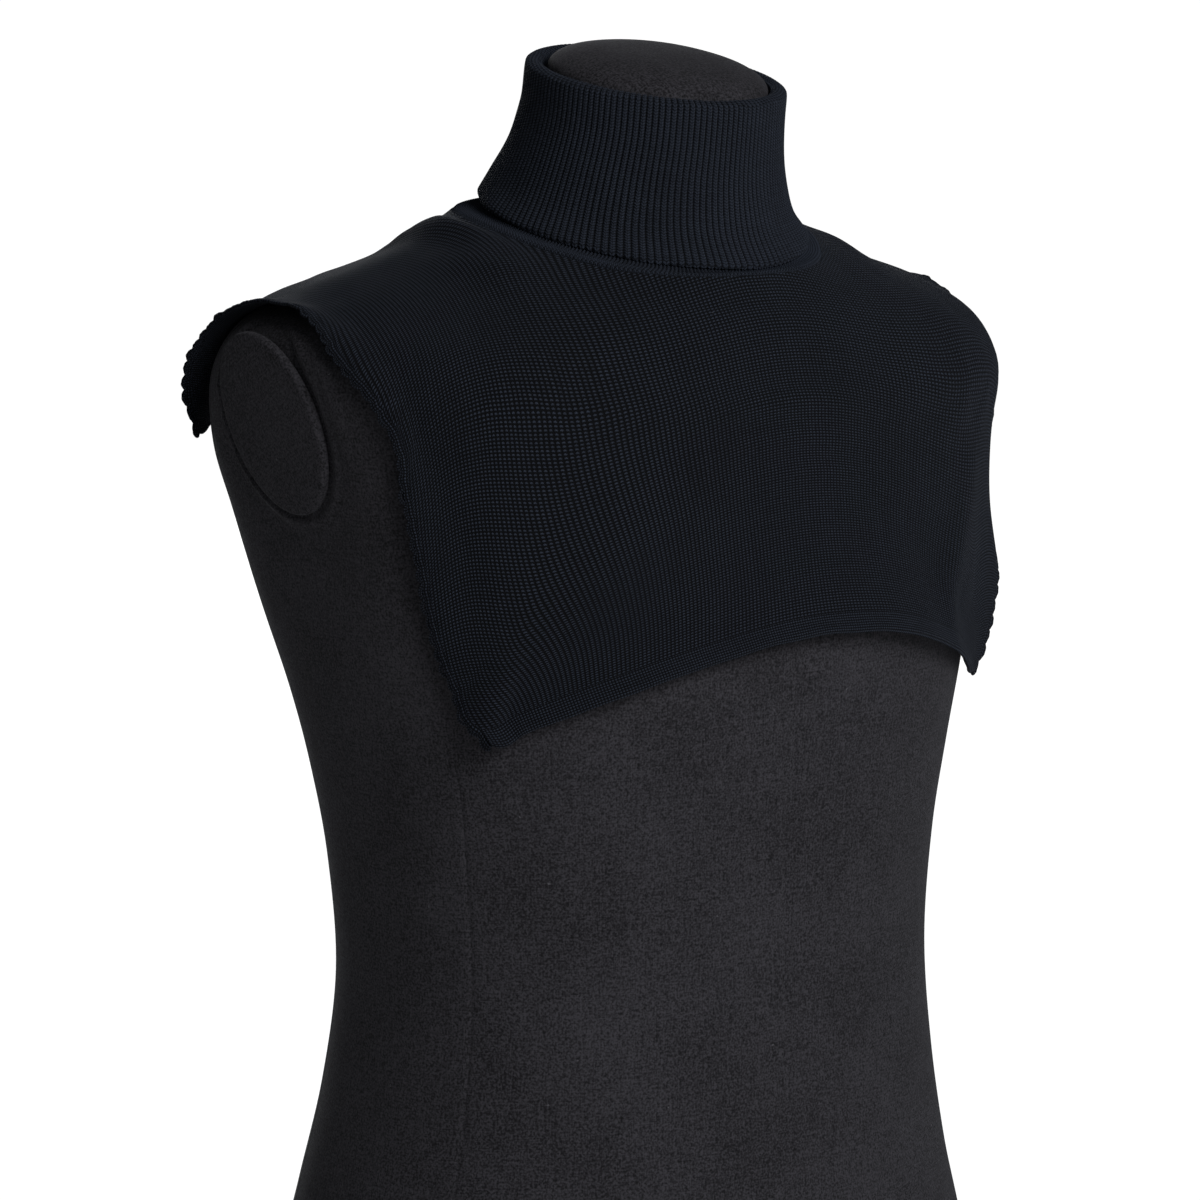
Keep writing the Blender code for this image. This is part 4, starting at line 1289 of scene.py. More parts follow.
@dataclass
class FlapCut:
    """The cloth of both flaps: one closed grid from the neckline to the border, draped on the form."""

    form: DressForm
    rows: int = 10
    front_side_columns: int = 13
    front_hem_columns: int = 20
    back_side_columns: int = 8
    back_hem_columns: int = 18
    row_parts: int = 9
    column_parts: int = 7
    wall: float = 0.0015
    fold_clearance: float = 0.0007
    drape_passes: int = 60
    seam_rows: int = 10
    front_corner_share: float = 0.31
    shoulder_share: float = 0.53
    back_corner_share: float = 0.68
    flat_shoulder: float = 0.199
    flat_front_hem: float = 0.170
    flat_back_hem: float = 0.193
    flat_front_drop: float = 0.068
    flat_back_drop: float = 0.036
    front_length: float = 0.235
    back_length: float = 0.155
    sway: float = 0.00025
    sway_pitch: float = 0.045
    edge_lift: float = 0.0042
    edge_lift_share: float = 0.16
    edge_lift_width: float = 0.012
    edge_lift_ending: float = 0.03
    neck_share: float = 0.08

    def __post_init__(self) -> None:
        """Drapes the cloth and finds its flat-cloth coordinates."""
        coarse = self.drape(self.start_grid())
        coarse_flat = self.flatten(coarse)
        shares = np.linspace(0.0, 1.0, self.rows * self.row_parts + 1)
        together = np.concatenate([coarse, coarse_flat], axis=2)
        fine = smooth_rows(smooth_ring(together, self.column_parts), shares)
        cells, self.flat = fine[..., :3], fine[..., 3:]
        cells = self.fold(self.form.clear(cells, CLOTH_CLEARANCE))
        self.cells = self.form.clear(cells, self.fold_clearance)
        normals = grid_normals(self.cells, closed=True)
        self.normals = turn_to_seam(normals, self.fine_shares(), 1.0, self.seam_rows)

    def fine_shares(self) -> np.ndarray:
        """Where each fine column meets the neckline."""
        shares = [*self.neckline_shares(), 2 - self.shoulder_share]
        return np.interp(np.arange(self.columns) / self.column_parts, np.arange(len(shares)), shares)

    @property
    def columns(self) -> int:
        """The fine grid's columns."""
        return self.column_parts * (self.front_end + self.back_hem_columns + 2 * self.back_side_columns)

    @property
    def front_end(self) -> int:
        """The coarse grid's column where the back flap starts."""
        return self.front_hem_columns + 2 * self.front_side_columns

    def border(self) -> np.ndarray:
        """The outer border of both flaps, round from the right shoulder seam by the front.

        Returns:
            One point for each coarse column.
        """
        stretches = (
            (FRONT_RIGHT_EDGE, self.front_side_columns, True),
            (FRONT_HEM, self.front_hem_columns, False),
            (FRONT_LEFT_EDGE, self.front_side_columns, False),
            (BACK_LEFT_EDGE, self.back_side_columns, True),
            (BACK_HEM, self.back_hem_columns, False),
            (BACK_RIGHT_EDGE, self.back_side_columns, False),
        )
        points = []
        for table, count, turned in stretches:
            line = smooth_rows(table, even_shares(table, count + 1, (0, 1, 2)))
            points.append((line[::-1] if turned else line)[:-1])
        return np.concatenate(points)

    def neckline_shares(self) -> list[float]:
        """Where each section meets the neckline, as shares of its half length from the front.

        Returns:
            One share for each coarse column.
        """
        stops = (
            (-self.shoulder_share, self.front_side_columns),
            (-self.front_corner_share, self.front_hem_columns),
            (self.front_corner_share, self.front_side_columns),
            (self.shoulder_share, self.back_side_columns),
            (self.back_corner_share, self.back_hem_columns),
            (2 - self.back_corner_share, self.back_side_columns),
        )
        ends = [share for share, _ in stops[1:]] + [2 - self.shoulder_share]
        shares = []
        for (start, count), end in zip(stops, ends):
            shares += [start + (end - start) * step / count for step in range(count)]
        return shares

    def start_grid(self) -> np.ndarray:
        """Straight sections from the neckline to the border.

        Returns:
            The coarse grid, rows by columns by three.
        """
        border = self.form.clear(self.border(), CLOTH_CLEARANCE)
        neckline = neckline_points(np.array(self.neckline_shares()))
        neckline = self.form.clear(neckline, CLOTH_CLEARANCE)
        shares = np.linspace(0.0, 1.0, self.rows + 1)[:, None, None]
        return neckline * (1 - shares) + border * shares

    def drape(self, cells: np.ndarray) -> np.ndarray:
        """Draws the inside of the grid taut between its border rows, always clear of the form.

        Args:
            cells: The closed grid.

        Returns:
            The draped grid.
        """
        for _ in range(self.drape_passes):
            beside = np.roll(cells, 1, axis=1) + np.roll(cells, -1, axis=1)
            cells[1:-1] = (cells[:-2] + cells[2:] + beside[1:-1]) / 4
            cells[1:-1] = self.form.clear(cells[1:-1], CLOTH_CLEARANCE)
        return cells

    def flatten(self, cells: np.ndarray) -> np.ndarray:
        """Lays the draped grid flat: stitch columns follow the side edges and courses follow the hems.

        Args:
            cells: The coarse draped grid.

        Returns:
            The flat cloth's coordinates at each point: across it, and along it from the shoulder line.
        """
        rows, columns = cells.shape[:2]
        run = run_along(np.concatenate([cells[-1], cells[-1, :1]]))
        hem_start = self.front_side_columns
        hem_end = hem_start + self.front_hem_columns
        back_start = self.front_end + self.back_side_columns
        back_end = back_start + self.back_hem_columns
        shoulder, hem, tail = self.flat_shoulder, self.flat_front_hem, self.flat_back_hem
        corners = [0, hem_start, hem_end, self.front_end, back_start, back_end, columns]
        across = np.interp(run, run[corners], [-shoulder, -hem, hem, shoulder, tail, -tail, -shoulder])[:-1]
        front, back = -self.front_length, self.back_length
        along = np.interp(run, run[corners], [0.0, front, front, 0.0, back, back, 0.0])[:-1]
        number = np.arange(rows * columns).reshape(rows, columns)
        system = np.zeros((rows * columns, rows * columns))
        pairs = (
            (number, np.roll(number, -1, axis=1), cells, np.roll(cells, -1, axis=1), True),
            (number[:-1], number[1:], cells[:-1], cells[1:], False),
        )
        width = np.linalg.norm(np.roll(cells, -1, axis=1) - cells, axis=2)
        depth = np.linalg.norm(np.gradient(cells, axis=0), axis=2)
        for here, there, start, end, level in pairs:
            length = np.linalg.norm(end - start, axis=2)
            breadth = depth if level else width[:-1]
            pull = (breadth / np.maximum(length, 1e-6)).ravel()
            first, second = here.ravel(), there.ravel()
            np.add.at(system, (first, first), pull)
            np.add.at(system, (second, second), pull)
            np.add.at(system, (first, second), -pull)
            np.add.at(system, (second, first), -pull)
        known = np.zeros((rows * columns, 2))
        forward = np.cos(math.pi * np.array(self.neckline_shares()))
        drop = np.where(forward > 0, self.flat_front_drop, self.flat_back_drop)
        for held, values in (
            (number[-1], np.stack([across, along], axis=1)),
            (number[0], np.stack([cells[0, :, 0], -drop * forward], axis=1)),
        ):
            system[held] = 0.0
            system[held, held] = 1.0
            known[held] = values
        return np.linalg.solve(system, known).reshape(rows, columns, 2)

    def fold(self, cells: np.ndarray) -> np.ndarray:
        """Raises the soft folds that the cloth has on the form.

        Args:
            cells: The fine grid.

        Returns:
            The grid with its folds.
        """
        rise = self.sway * (1 + soft_waves(self.flat, self.sway_pitch, SEED))
        for crease in CREASES:
            start = np.array([crease.start_across, crease.start_along])
            run = np.array([crease.end_across, crease.end_along]) - start
            share = np.clip((self.flat - start) @ run / (run @ run), 0.0, 1.0)
            away = np.linalg.norm(self.flat - start - share[..., None] * run, axis=2)
            taper = 0.35 + 0.65 * np.sin(math.pi * np.clip(share, 0.04, 0.96))
            rise = rise + crease.rise * taper * hump(away, 0.0, crease.half_width)
        down = np.linspace(0.0, 1.0, len(cells))[:, None]
        outer = soft_step((down - 1 + self.edge_lift_share) / self.edge_lift_share)
        across, along = np.moveaxis(self.flat[-1], 1, 0)
        beside = soft_step((-across - self.flat_front_hem + self.edge_lift_width) / self.edge_lift_width)
        beside = beside * (along < 0) * soft_step(-along / self.edge_lift_ending)
        rise = (rise + self.edge_lift * outer * beside) * soft_step(down / self.neck_share)
        return cells + grid_normals(cells, closed=True) * rise[..., None]

    def part_of(self, values: np.ndarray, flap: Flap) -> np.ndarray:
        """The columns of one flap, both of its shoulder seams included.

        Args:
            values: A fine grid of both flaps.
            flap: Which flap to take.

        Returns:
            The flap's columns of the grid.
        """
        first = 0 if flap is Flap.FRONT else self.front_end * self.column_parts
        last = self.front_end * self.column_parts if flap is Flap.FRONT else self.columns
        return values[:, [column % self.columns for column in range(first, last + 1)]]


def neckline_points(shares: np.ndarray) -> np.ndarray:
    """Reads the neckline.

    Args:
        shares: Shares of its half length from the front, growing towards the wearer's left.

    Returns:
        The neckline's points.
    """
    turns = shares % 2.0
    points = smooth_rows(NECKLINE, np.minimum(turns, 2.0 - turns))
    points[:, 0] *= np.where(turns <= 1.0, 1.0, -1.0)
    return points


def seam_direction(shares: np.ndarray) -> np.ndarray:
    """The way the cloth's outer face looks along the neckline seam: more forward at the front.

    Args:
        shares: Shares of the neckline's half length from the front.

    Returns:
        One unit vector for each share.
    """
    forward = np.cos(math.pi * shares)
    radial = np.stack([np.sin(math.pi * shares), -forward, np.zeros_like(shares)], axis=1)
    upright = np.array([0.0, 0.0, 0.85])
    return unit(radial * (0.40 + 0.15 * forward + 0.15 * forward**2)[:, None] + upright)


def turn_to_seam(normals: np.ndarray, shares: np.ndarray, sign: float, rows: int) -> np.ndarray:
    """Turns a grid's normals smoothly to the neckline seam's own over its first rows.

    Args:
        normals: The grid's normals, with the neckline as its first row.
        shares: Where each column meets the neckline.
        sign: 1 where the outer face looks out of the cloth, or -1.
        rows: How many rows the turn takes.

    Returns:
        The turned normals.
    """
    turned = normals.copy()
    seam = seam_direction(shares) * sign
    for row in range(rows):
        share = soft_step(np.array(row / rows))
        turned[row] = unit(seam * (1 - share) + normals[row] * share)
    return turned


class Edge(NamedTuple):
    """A stretch of the cloth's border: the inner face's points, the way out along the cloth, the normals."""

    line: np.ndarray
    outward: np.ndarray
    normals: np.ndarray


@dataclass
class FlapPanel:
    """One flap's plain-knit panel with its welt and the border that the side edgings are sewn to."""

    cut: FlapCut
    flap: Flap
    flat_size: tuple[float, float]
    flat_area: float
    welt_size: tuple[float, float]
    corner_rounding: float
    corner_columns: int = 5
    welt_wall: float = 0.0021
    welt_rows: int = 13
    swell_run: float = 0.0060
    roll_reach: float = 0.0078
    roll_width: float = 0.0020
    roll_rise: float = 0.0006
    rounded_run: float = 0.0011
    wander: float = 0.0004
    wander_pitch: float = 0.03

    def __post_init__(self) -> None:
        """Takes the flap's share of the draped cloth."""
        cut = self.cut
        self.cells, self.normals, self.flat = (
            cut.part_of(values, self.flap) for values in (cut.cells, cut.normals, cut.flat)
        )
        front = self.flap is Flap.FRONT
        side = cut.front_side_columns if front else cut.back_side_columns
        hem = cut.front_hem_columns if front else cut.back_hem_columns
        self.hem_start = side * cut.column_parts
        self.hem_end = self.hem_start + hem * cut.column_parts
        self.last = self.cells.shape[1] - 1

    def edge(self, first: int, last: int) -> Edge:
        """Reads the border between two of its columns, both included.

        Args:
            first: The stretch's first column.
            last: Its last column.

        Returns:
            The stretch.
        """
        line, before = self.cells[-1, first : last + 1], self.cells[-3, first : last + 1]
        run = unit(np.gradient(line, axis=0))
        outward = line - before
        outward = unit(outward - run * np.sum(outward * run, axis=1, keepdims=True))
        return Edge(line, outward, self.normals[-1, first : last + 1])

    def hem(self) -> Edge:
        """Reads the hem's border, where the way out turns to run on from the side edge at each corner.

        Returns:
            The stretch between the two hem corners.
        """
        line, outward, normals = self.edge(self.hem_start, self.hem_end)
        border, steps = self.cells[-1], np.arange(len(line))
        for corner, beside, away in (
            (self.hem_start, self.hem_start - self.corner_columns, steps),
            (self.hem_end, self.hem_end + self.corner_columns, steps[::-1]),
        ):
            down = unit(border[corner] - border[beside])
            share = soft_step(1 - away / (2.0 * self.corner_columns))[:, None]
            outward = unit(outward * (1 - share) + down * share) * (1 - self.corner_rounding * share**2)
        return Edge(line, outward, normals)

    def corner(self, end: int) -> np.ndarray:
        """The lower end of the welt at its start, 0, or at its end, -1."""
        hem = self.hem()
        return hem.line[end] + hem.outward[end] * self.welt_size[1]

    def build_panel(self, cloth: Cloth) -> bpy.types.Object:
        """Builds the panel as a thin closed wall.

        Args:
            cloth: Its material and slot.

        Returns:
            The new piece.
        """
        draft = MeshDraft()
        draft.add_wall(self.cells, self.cells + self.normals * self.cut.wall, self.flat)
        return draft.make(f"{self.flap.value}_flap", f"{self.flap.value}_panel", cloth)

    def build_welt(self, cloth: Cloth) -> bpy.types.Object:
        """Builds the welt: a slightly thicker band with a rounded lower edge.

        Args:
            cloth: Its material and slot.

        Returns:
            The new piece.
        """
        hem, depth = self.hem(), self.welt_size[1]
        reach = np.linspace(0.0, depth, self.welt_rows)
        thickness = self.cut.wall + (self.welt_wall - self.cut.wall) * soft_step(reach / self.swell_run)
        thickness = thickness + self.roll_rise * hump(reach, self.roll_reach, self.roll_width)
        open_share = soft_step((depth - reach) / self.rounded_run)
        over = thickness * (0.55 + 0.45 * open_share)
        under = thickness * 0.45 * (1 - open_share)
        run = run_along(hem.line)
        wander = soft_waves(np.stack([run, run * 0], axis=1), self.wander_pitch, SEED + 1) * self.wander
        lengthened = reach[:, None] * (1 + wander / depth)
        base = hem.line + hem.outward * lengthened[..., None]
        inner, outer = (base + hem.normals * rise[:, None, None] for rise in (under, over))
        draft = MeshDraft()
        draft.add_wall(inner, outer, np.stack(np.broadcast_arrays(run[None, :], reach[:, None]), axis=2))
        return draft.make(f"{self.flap.value}_welt", f"{self.flap.value}_hem", cloth)


class StripRow(NamedTuple):
    """A row of the edging's strip: its share of the strip's width, and its share of the wall's thickness."""

    share: float
    thickness: float


STRIP_ROWS = (
    StripRow(0.00, 1.00),
    StripRow(0.35, 1.08),
    StripRow(0.72, 0.98),
    StripRow(0.92, 0.75),
    StripRow(1.00, 0.45),
)


@dataclass
class PicotEdging:
    """The small looped edging along one side of the garment, from hem to hem over the shoulder."""

    side: Side
    front: FlapPanel
    back: FlapPanel
    flat_size: tuple[float, float] = (0.38, 0.0115)
    flat_area: float = 0.0030
    pitch: float = 0.0076
    wall: float = 0.0015
    strip: float = 0.0034
    strip_seam: float = 0.0001
    strip_row_run: float = 0.001
    front_reach: float = 0.0047
    back_reach: float = 0.0043
    loop_tilt: float = 0.00035
    loop_skew: float = 0.1
    loop_steps: int = 14
    yarn_radius: float = 0.0008
    yarn_sides: int = 8
    yarn_height: float = 0.36
    end_run: float = 0.0018

    def stations(self) -> tuple[Edge, np.ndarray, np.ndarray]:
        """Reads the whole side edge, in even small steps.

        Returns:
            The edge, the share of the back flap and the fullness, which is 1 but for the two rounded ends.
        """
        pair = (self.back, self.front) if self.side is Side.RIGHT else (self.front, self.back)
        upward, downward = pair
        parts = (upward.edge(upward.hem_end, upward.last), downward.edge(0, downward.hem_start))
        points, outward, normals = (np.concatenate([rise, fall[1:]]) for rise, fall in zip(*parts))
        points = np.concatenate([[upward.corner(-1)], points, [downward.corner(0)]])
        outward, normals = (np.concatenate([rows[:1], rows, rows[-1:]]) for rows in (outward, normals))
        run = run_along(points)
        loops = round(run[-1] / self.pitch)
        even = np.linspace(0.0, run[-1], loops * self.loop_steps + 1)
        line, outward, normals = (
            np.stack([np.interp(even, run, rows[:, axis]) for axis in range(3)], axis=1)
            for rows in (points, outward, normals)
        )
        from_end = np.clip(np.minimum(even, run[-1] - even) / self.end_run, 0.0, 1.0)
        behind = soft_step((line[:, 1] + 0.01) / 0.03)
        return Edge(line, unit(outward), unit(normals)), behind, np.sqrt(from_end * (2 - from_end))

    def build(self, cloth: Cloth) -> bpy.types.Object:
        """Builds the edging: a narrow knitted strip and a row of yarn loops sewn to it.

        Args:
            cloth: Its material and slot.

        Returns:
            The new piece.
        """
        edge, behind, fullness = self.stations()
        draw = np.random.default_rng(SEED + self.side.value)
        draft = MeshDraft()
        self.add_strip(draft, edge, fullness)
        for first in range(0, len(edge.line) - 1, self.loop_steps):
            window = slice(first, first + self.loop_steps + 1)
            reach = self.front_reach + (self.back_reach - self.front_reach) * behind[window]
            reach = reach * draw.uniform(0.82, 1.14) * (0.5 + 0.5 * fullness[window])
            tilt = draw.normal(0.0, self.loop_tilt)
            skew = draw.uniform(-self.loop_skew, self.loop_skew)
            self.add_loop(draft, Edge(*(rows[window] for rows in edge)), reach, tilt, skew)
        return draft.make(f"picot_edging_{self.side.word}", f"side_edging_{self.side.word}", cloth)

    def add_strip(self, draft: MeshDraft, edge: Edge, fullness: np.ndarray) -> None:
        """Adds the strip between the panel and the loops, a little wider under each loop.

        Args:
            draft: The piece being made.
            edge: The whole edge.
            fullness: 1 but for the rounded ends.
        """
        phase = np.arange(len(edge.line)) / self.loop_steps
        width = self.strip * (1 - 0.10 * np.cos(2 * math.pi * phase)) * (0.45 + 0.55 * fullness)
        inner, outer = [], []
        for share, thickness in STRIP_ROWS:
            inner.append(edge.line + edge.outward * (width * share + self.strip_seam)[:, None])
            outer.append(inner[-1] + edge.normals * (self.wall * thickness))
        rows = np.arange(len(STRIP_ROWS))[:, None] * self.strip_row_run
        flat = np.stack(np.broadcast_arrays(run_along(edge.line)[None, :], rows), axis=2)
        draft.add_wall(np.stack(inner), np.stack(outer), flat)

    def add_loop(self, draft: MeshDraft, edge: Edge, reach: np.ndarray, tilt: float, skew: float) -> None:
        """Adds one yarn loop as a bent tube whose ends lie in the strip.

        Args:
            draft: The piece being made.
            edge: The edge under the loop.
            reach: How far the loop stands out.
            tilt: How far it leans off the cloth.
            skew: How far its top is pushed along the edge, as a share of its length.
        """
        steps = np.arange(len(edge.line))
        share = steps / steps[-1]
        arch = np.sin(math.pi * share) ** 0.75
        slid = np.clip(share + skew * np.sin(math.pi * share), 0.0, 1.0) * steps[-1]
        places = np.stack([np.interp(slid, steps, edge.line[:, axis]) for axis in range(3)], axis=1)
        foot = np.minimum(self.strip * 0.72, reach * 0.8)
        stand = foot + (reach - foot) * arch
        lift = self.wall * self.yarn_height + tilt * arch
        centre = places + edge.outward * stand[:, None] + edge.normals * lift[:, None]
        run = unit(np.gradient(centre, axis=0))
        side = unit(np.cross(run, edge.normals))
        top = np.cross(side, run)
        radius = self.yarn_radius * (1 + 0.10 * np.sin(2 * math.pi * share * 3))
        turns = 2 * math.pi * np.arange(self.yarn_sides) / self.yarn_sides
        around = [side * math.cos(turn) + top * math.sin(turn) for turn in turns]
        cells = np.stack([centre + way * radius[:, None] for way in around], axis=1)
        round_it = np.linspace(0.0, 2 * math.pi * self.yarn_radius, self.yarn_sides + 1)
        flat = np.stack(np.broadcast_arrays(round_it[None, :], run_along(centre)[:, None]), axis=2)
        draft.add_tube(cells, flat)


# ---------------------------------------------------------------- the roll collar


@dataclass
class RollCollar:
    """One tube of 1x1 rib: a foot on the neckline, a stand round the neck, a fold and the fall."""

    form: DressForm
    ribs: int = 136
    flat_width: float = 0.430
    flat_length: float = 0.167
    wall: float = 0.0022
    rib_depth: float = 0.0008
    rib_phases: tuple[float, ...] = (0.0, 0.09, 0.20, 0.35, 0.50, 0.65, 0.80, 0.91)
    phase_parts: int = 100
    foot_rows: float = 2.0
    foot_seam: float = 0.0001
    foot_swell: float = 0.0010
    foot_rib_depth: float = 0.0009
    seam_thinning: float = 0.0009
    seam_rows: int = 5
    fold_steps: int = 3
    fall_clearance: float = 0.0074
    mean_radius: float = 0.07
    edge_wander: float = 0.0005
    edge_wander_pitch: float = 0.05
    swell: float = 0.0004
    swell_pitch: float = 0.04
    rib_unevenness: float = 0.12
    rib_uneven_pitch: float = 0.02
    rib_sharpness: float = 0.45
    edge_roll: float = 0.0009
    edge_rib_roll: float = 0.0004
    edge_wrap: float = 0.0012

    def ring(self, row: CollarRow, columns: int) -> np.ndarray:
        """One level ring of the collar's face.

        Args:
            row: The level.
            columns: How many points the ring has.

        Returns:
            The ring's points, from the front towards the wearer's left.
        """
        turns = 2 * math.pi * np.arange(columns) / columns
        lean = math.radians(row.tilt)
        depth = -row.half_depth * np.cos(turns)
        return np.stack(
            [
                row.half_width * np.sin(turns),
                row.centre_depth + depth * math.cos(lean),
                row.height + depth * math.sin(lean) - row.sag * np.cos(turns) ** 2,
            ],
            axis=1,
        )

    def fold_rows(self) -> list[CollarRow]:
        """Rows of the half circle that carries the stand's top over to the fall's top.

        Returns:
            The rows, in order along the tube.
        """
        start, end = STAND_ROWS[-1], FALL_ROWS[0]
        radius = (end.half_width - start.half_width) / 2
        rows = []
        for step in range(1, self.fold_steps + 1):
            turn = math.pi * step / (self.fold_steps + 1)
            out = radius * (1 - math.cos(turn))
            rows.append(
                start._replace(
                    height=start.height + radius * math.sin(turn),
                    half_width=start.half_width + out,
                    half_depth=start.half_depth + out,
                )
            )
        return rows

    def face(self) -> np.ndarray:
        """The tube's one face, from the neckline over the fold and down to its edge, one column a rib.

        Returns:
            The coarse grid, rows by ribs by three.
        """
        foot = neckline_points(2 * np.arange(self.ribs) / self.ribs)
        inward = unit(foot * np.array([-1.0, -1.0, 0.0]))
        *low_rows, top_row = STAND_ROWS
        rings = [foot + inward * self.foot_seam] + [self.ring(row, self.ribs) for row in low_rows]
        rings = [self.form.clear(ring, CLOTH_CLEARANCE) for ring in rings]
        rings += [self.ring(row, self.ribs) for row in (top_row, *self.fold_rows())]
        rings += [self.form.clear(self.ring(row, self.ribs), self.fall_clearance) for row in FALL_ROWS]
        return np.stack(rings)

    def row_places(self) -> np.ndarray:
        """Where the fine rows lie among the coarse ones: close together over the fold.

        Returns:
            The fine rows' places, in coarse rows from the foot.
        """
        foot, before, after = self.foot_rows, len(STAND_ROWS) - 0.6, self.fall_start + 1.4
        return np.concatenate(
            [
                np.linspace(0.0, foot, 8, endpoint=False),
                np.linspace(foot, before, 5, endpoint=False),
                np.linspace(before, after, 20, endpoint=False),
                np.linspace(after, self.fall_start + len(FALL_ROWS), 26),
            ]
        )

    @property
    def fall_start(self) -> int:
        """The coarse row where the fold ends."""
        return len(STAND_ROWS) + self.fold_steps

    def fine_face(self, place: np.ndarray, hang: np.ndarray) -> tuple[np.ndarray, np.ndarray]:
        """Reads the face at every phase of every rib and makes its fall a little uneven.

        Args:
            place: Where the rows lie among the coarse ones.
            hang: How far down the fall each row hangs, from 0 to 1.

        Returns:
            The face and its normals.
        """
        parts = self.phase_parts
        coarse = smooth_rows(self.face(), place / place[-1])
        chosen = [rib * parts + round(phase * parts) for rib in range(self.ribs) for phase in self.rib_phases]
        face = smooth_ring(coarse, parts)[:, chosen]
        shares = 2 * np.arange(face.shape[1]) / face.shape[1]
        around = np.stack([np.cos(math.pi * shares), np.sin(math.pi * shares)], axis=1) * self.mean_radius
        wander = soft_waves(around, self.edge_wander_pitch, SEED + 3) * self.edge_wander
        face = face + (hang[:, None] * wander)[..., None] * np.array([0.0, 0.0, 1.0])
        normals = turn_to_seam(grid_normals(face, closed=True), shares, -1.0, self.seam_rows)
        swell = soft_waves(face, self.swell_pitch, SEED + 4) * self.swell
        return face + normals * (swell * hang[:, None])[..., None], normals

    def flat_places(self, face: np.ndarray, place: np.ndarray) -> np.ndarray:
        """The flat-cloth coordinates, where the foot's ribs are twice as fine as the others.

        Args:
            face: The fine face.
            place: Where its rows lie among the coarse ones.

        Returns:
            The coordinates, with one column more than the face.
        """
        run = run_along(face)
        pitch = self.flat_width / self.ribs
        across = (np.arange(self.ribs)[:, None] + np.array(self.rib_phases)).ravel() * pitch
        across = np.append(across, self.flat_width) + pitch / 2
        finer = np.where(place < self.foot_rows, 2.0, 1.0)[:, None]
        level = np.concatenate([run, run[:, :1]], axis=1)
        return np.stack([across * finer - (finer - 1) * pitch / 2, level], axis=2)

    def build(self, cloth: Cloth) -> bpy.types.Object:
        """Builds the collar with every rib raised on both of its faces.

        Args:
            cloth: Its material and slot.

        Returns:
            The new piece.
        """
        place = self.row_places()
        hang = np.clip((place - self.fall_start) / len(FALL_ROWS), 0.0, 1.0)
        face, normals = self.fine_face(place, hang)
        flat = self.flat_places(face, place)
        phases = np.tile(np.array(self.rib_phases), self.ribs)
        ridge = np.abs(np.cos(math.pi * phases)) ** self.rib_sharpness
        foot_ridge = 0.5 + 0.5 * np.cos(4 * math.pi * phases)
        uneven = 1 + self.rib_unevenness * soft_waves(face, self.rib_uneven_pitch, SEED + 5)
        relief = ridge * self.rib_depth * uneven
        place = place[:, None]
        on_foot = soft_step((self.foot_rows - place) / 0.6)
        foot_relief = foot_ridge * self.foot_rib_depth * soft_step(place / 0.3)
        swell = self.foot_swell * soft_step(place / 0.25) * on_foot
        swell = swell - self.seam_thinning * (1 - soft_step(place / 0.35))
        depth = self.wall + swell + relief * (1 - on_foot) + foot_relief * on_foot
        draft = MeshDraft()
        outside = draft.place(face + normals * relief[..., None])
        inside = draft.place(face - normals * depth[..., None])
        middle = face[-1] - normals[-1] * (self.wall / 2)
        rolled = unit(face[-1] - face[-2]) * (self.edge_roll + self.edge_rib_roll * ridge)[:, None]
        edge = draft.place((middle + rolled)[None])[0]
        edge_flat = np.stack([flat[-1], flat[-1] + np.array([0.0, self.edge_wrap])])
        draft.weave(outside, flat, closed=True)
        draft.weave(inside, flat, closed=True)
        draft.weave(np.stack([inside[0], outside[0]]), np.stack([flat[0], flat[0]]), closed=True)
        draft.weave(np.stack([outside[-1], edge]), edge_flat, closed=True)
        draft.weave(np.stack([edge, inside[-1]]), edge_flat[::-1], closed=True)
        return draft.make("rib_roll_collar", "roll_collar", cloth)


# ---------------------------------------------------------------- studio


class Softbox(NamedTuple):
    """A soft square light that looks at the object: its place, side length, power and colour."""

    name: str
    place: tuple[float, float, float]
    size: float
    watts: float
    colour: Colour


SOFTBOXES = (
    Softbox("key_softbox", (-0.2, -2.7, 1.9), 1.6, 78.0, (0.98, 0.97, 1.0)),
    Softbox("side_softbox", (2.6, -1.0, 1.2), 1.2, 2.5, (0.72, 0.86, 1.0)),
    Softbox("back_softbox", (1.5, 2.9, 0.8), 1.8, 46.0, (0.96, 0.98, 1.0)),
)


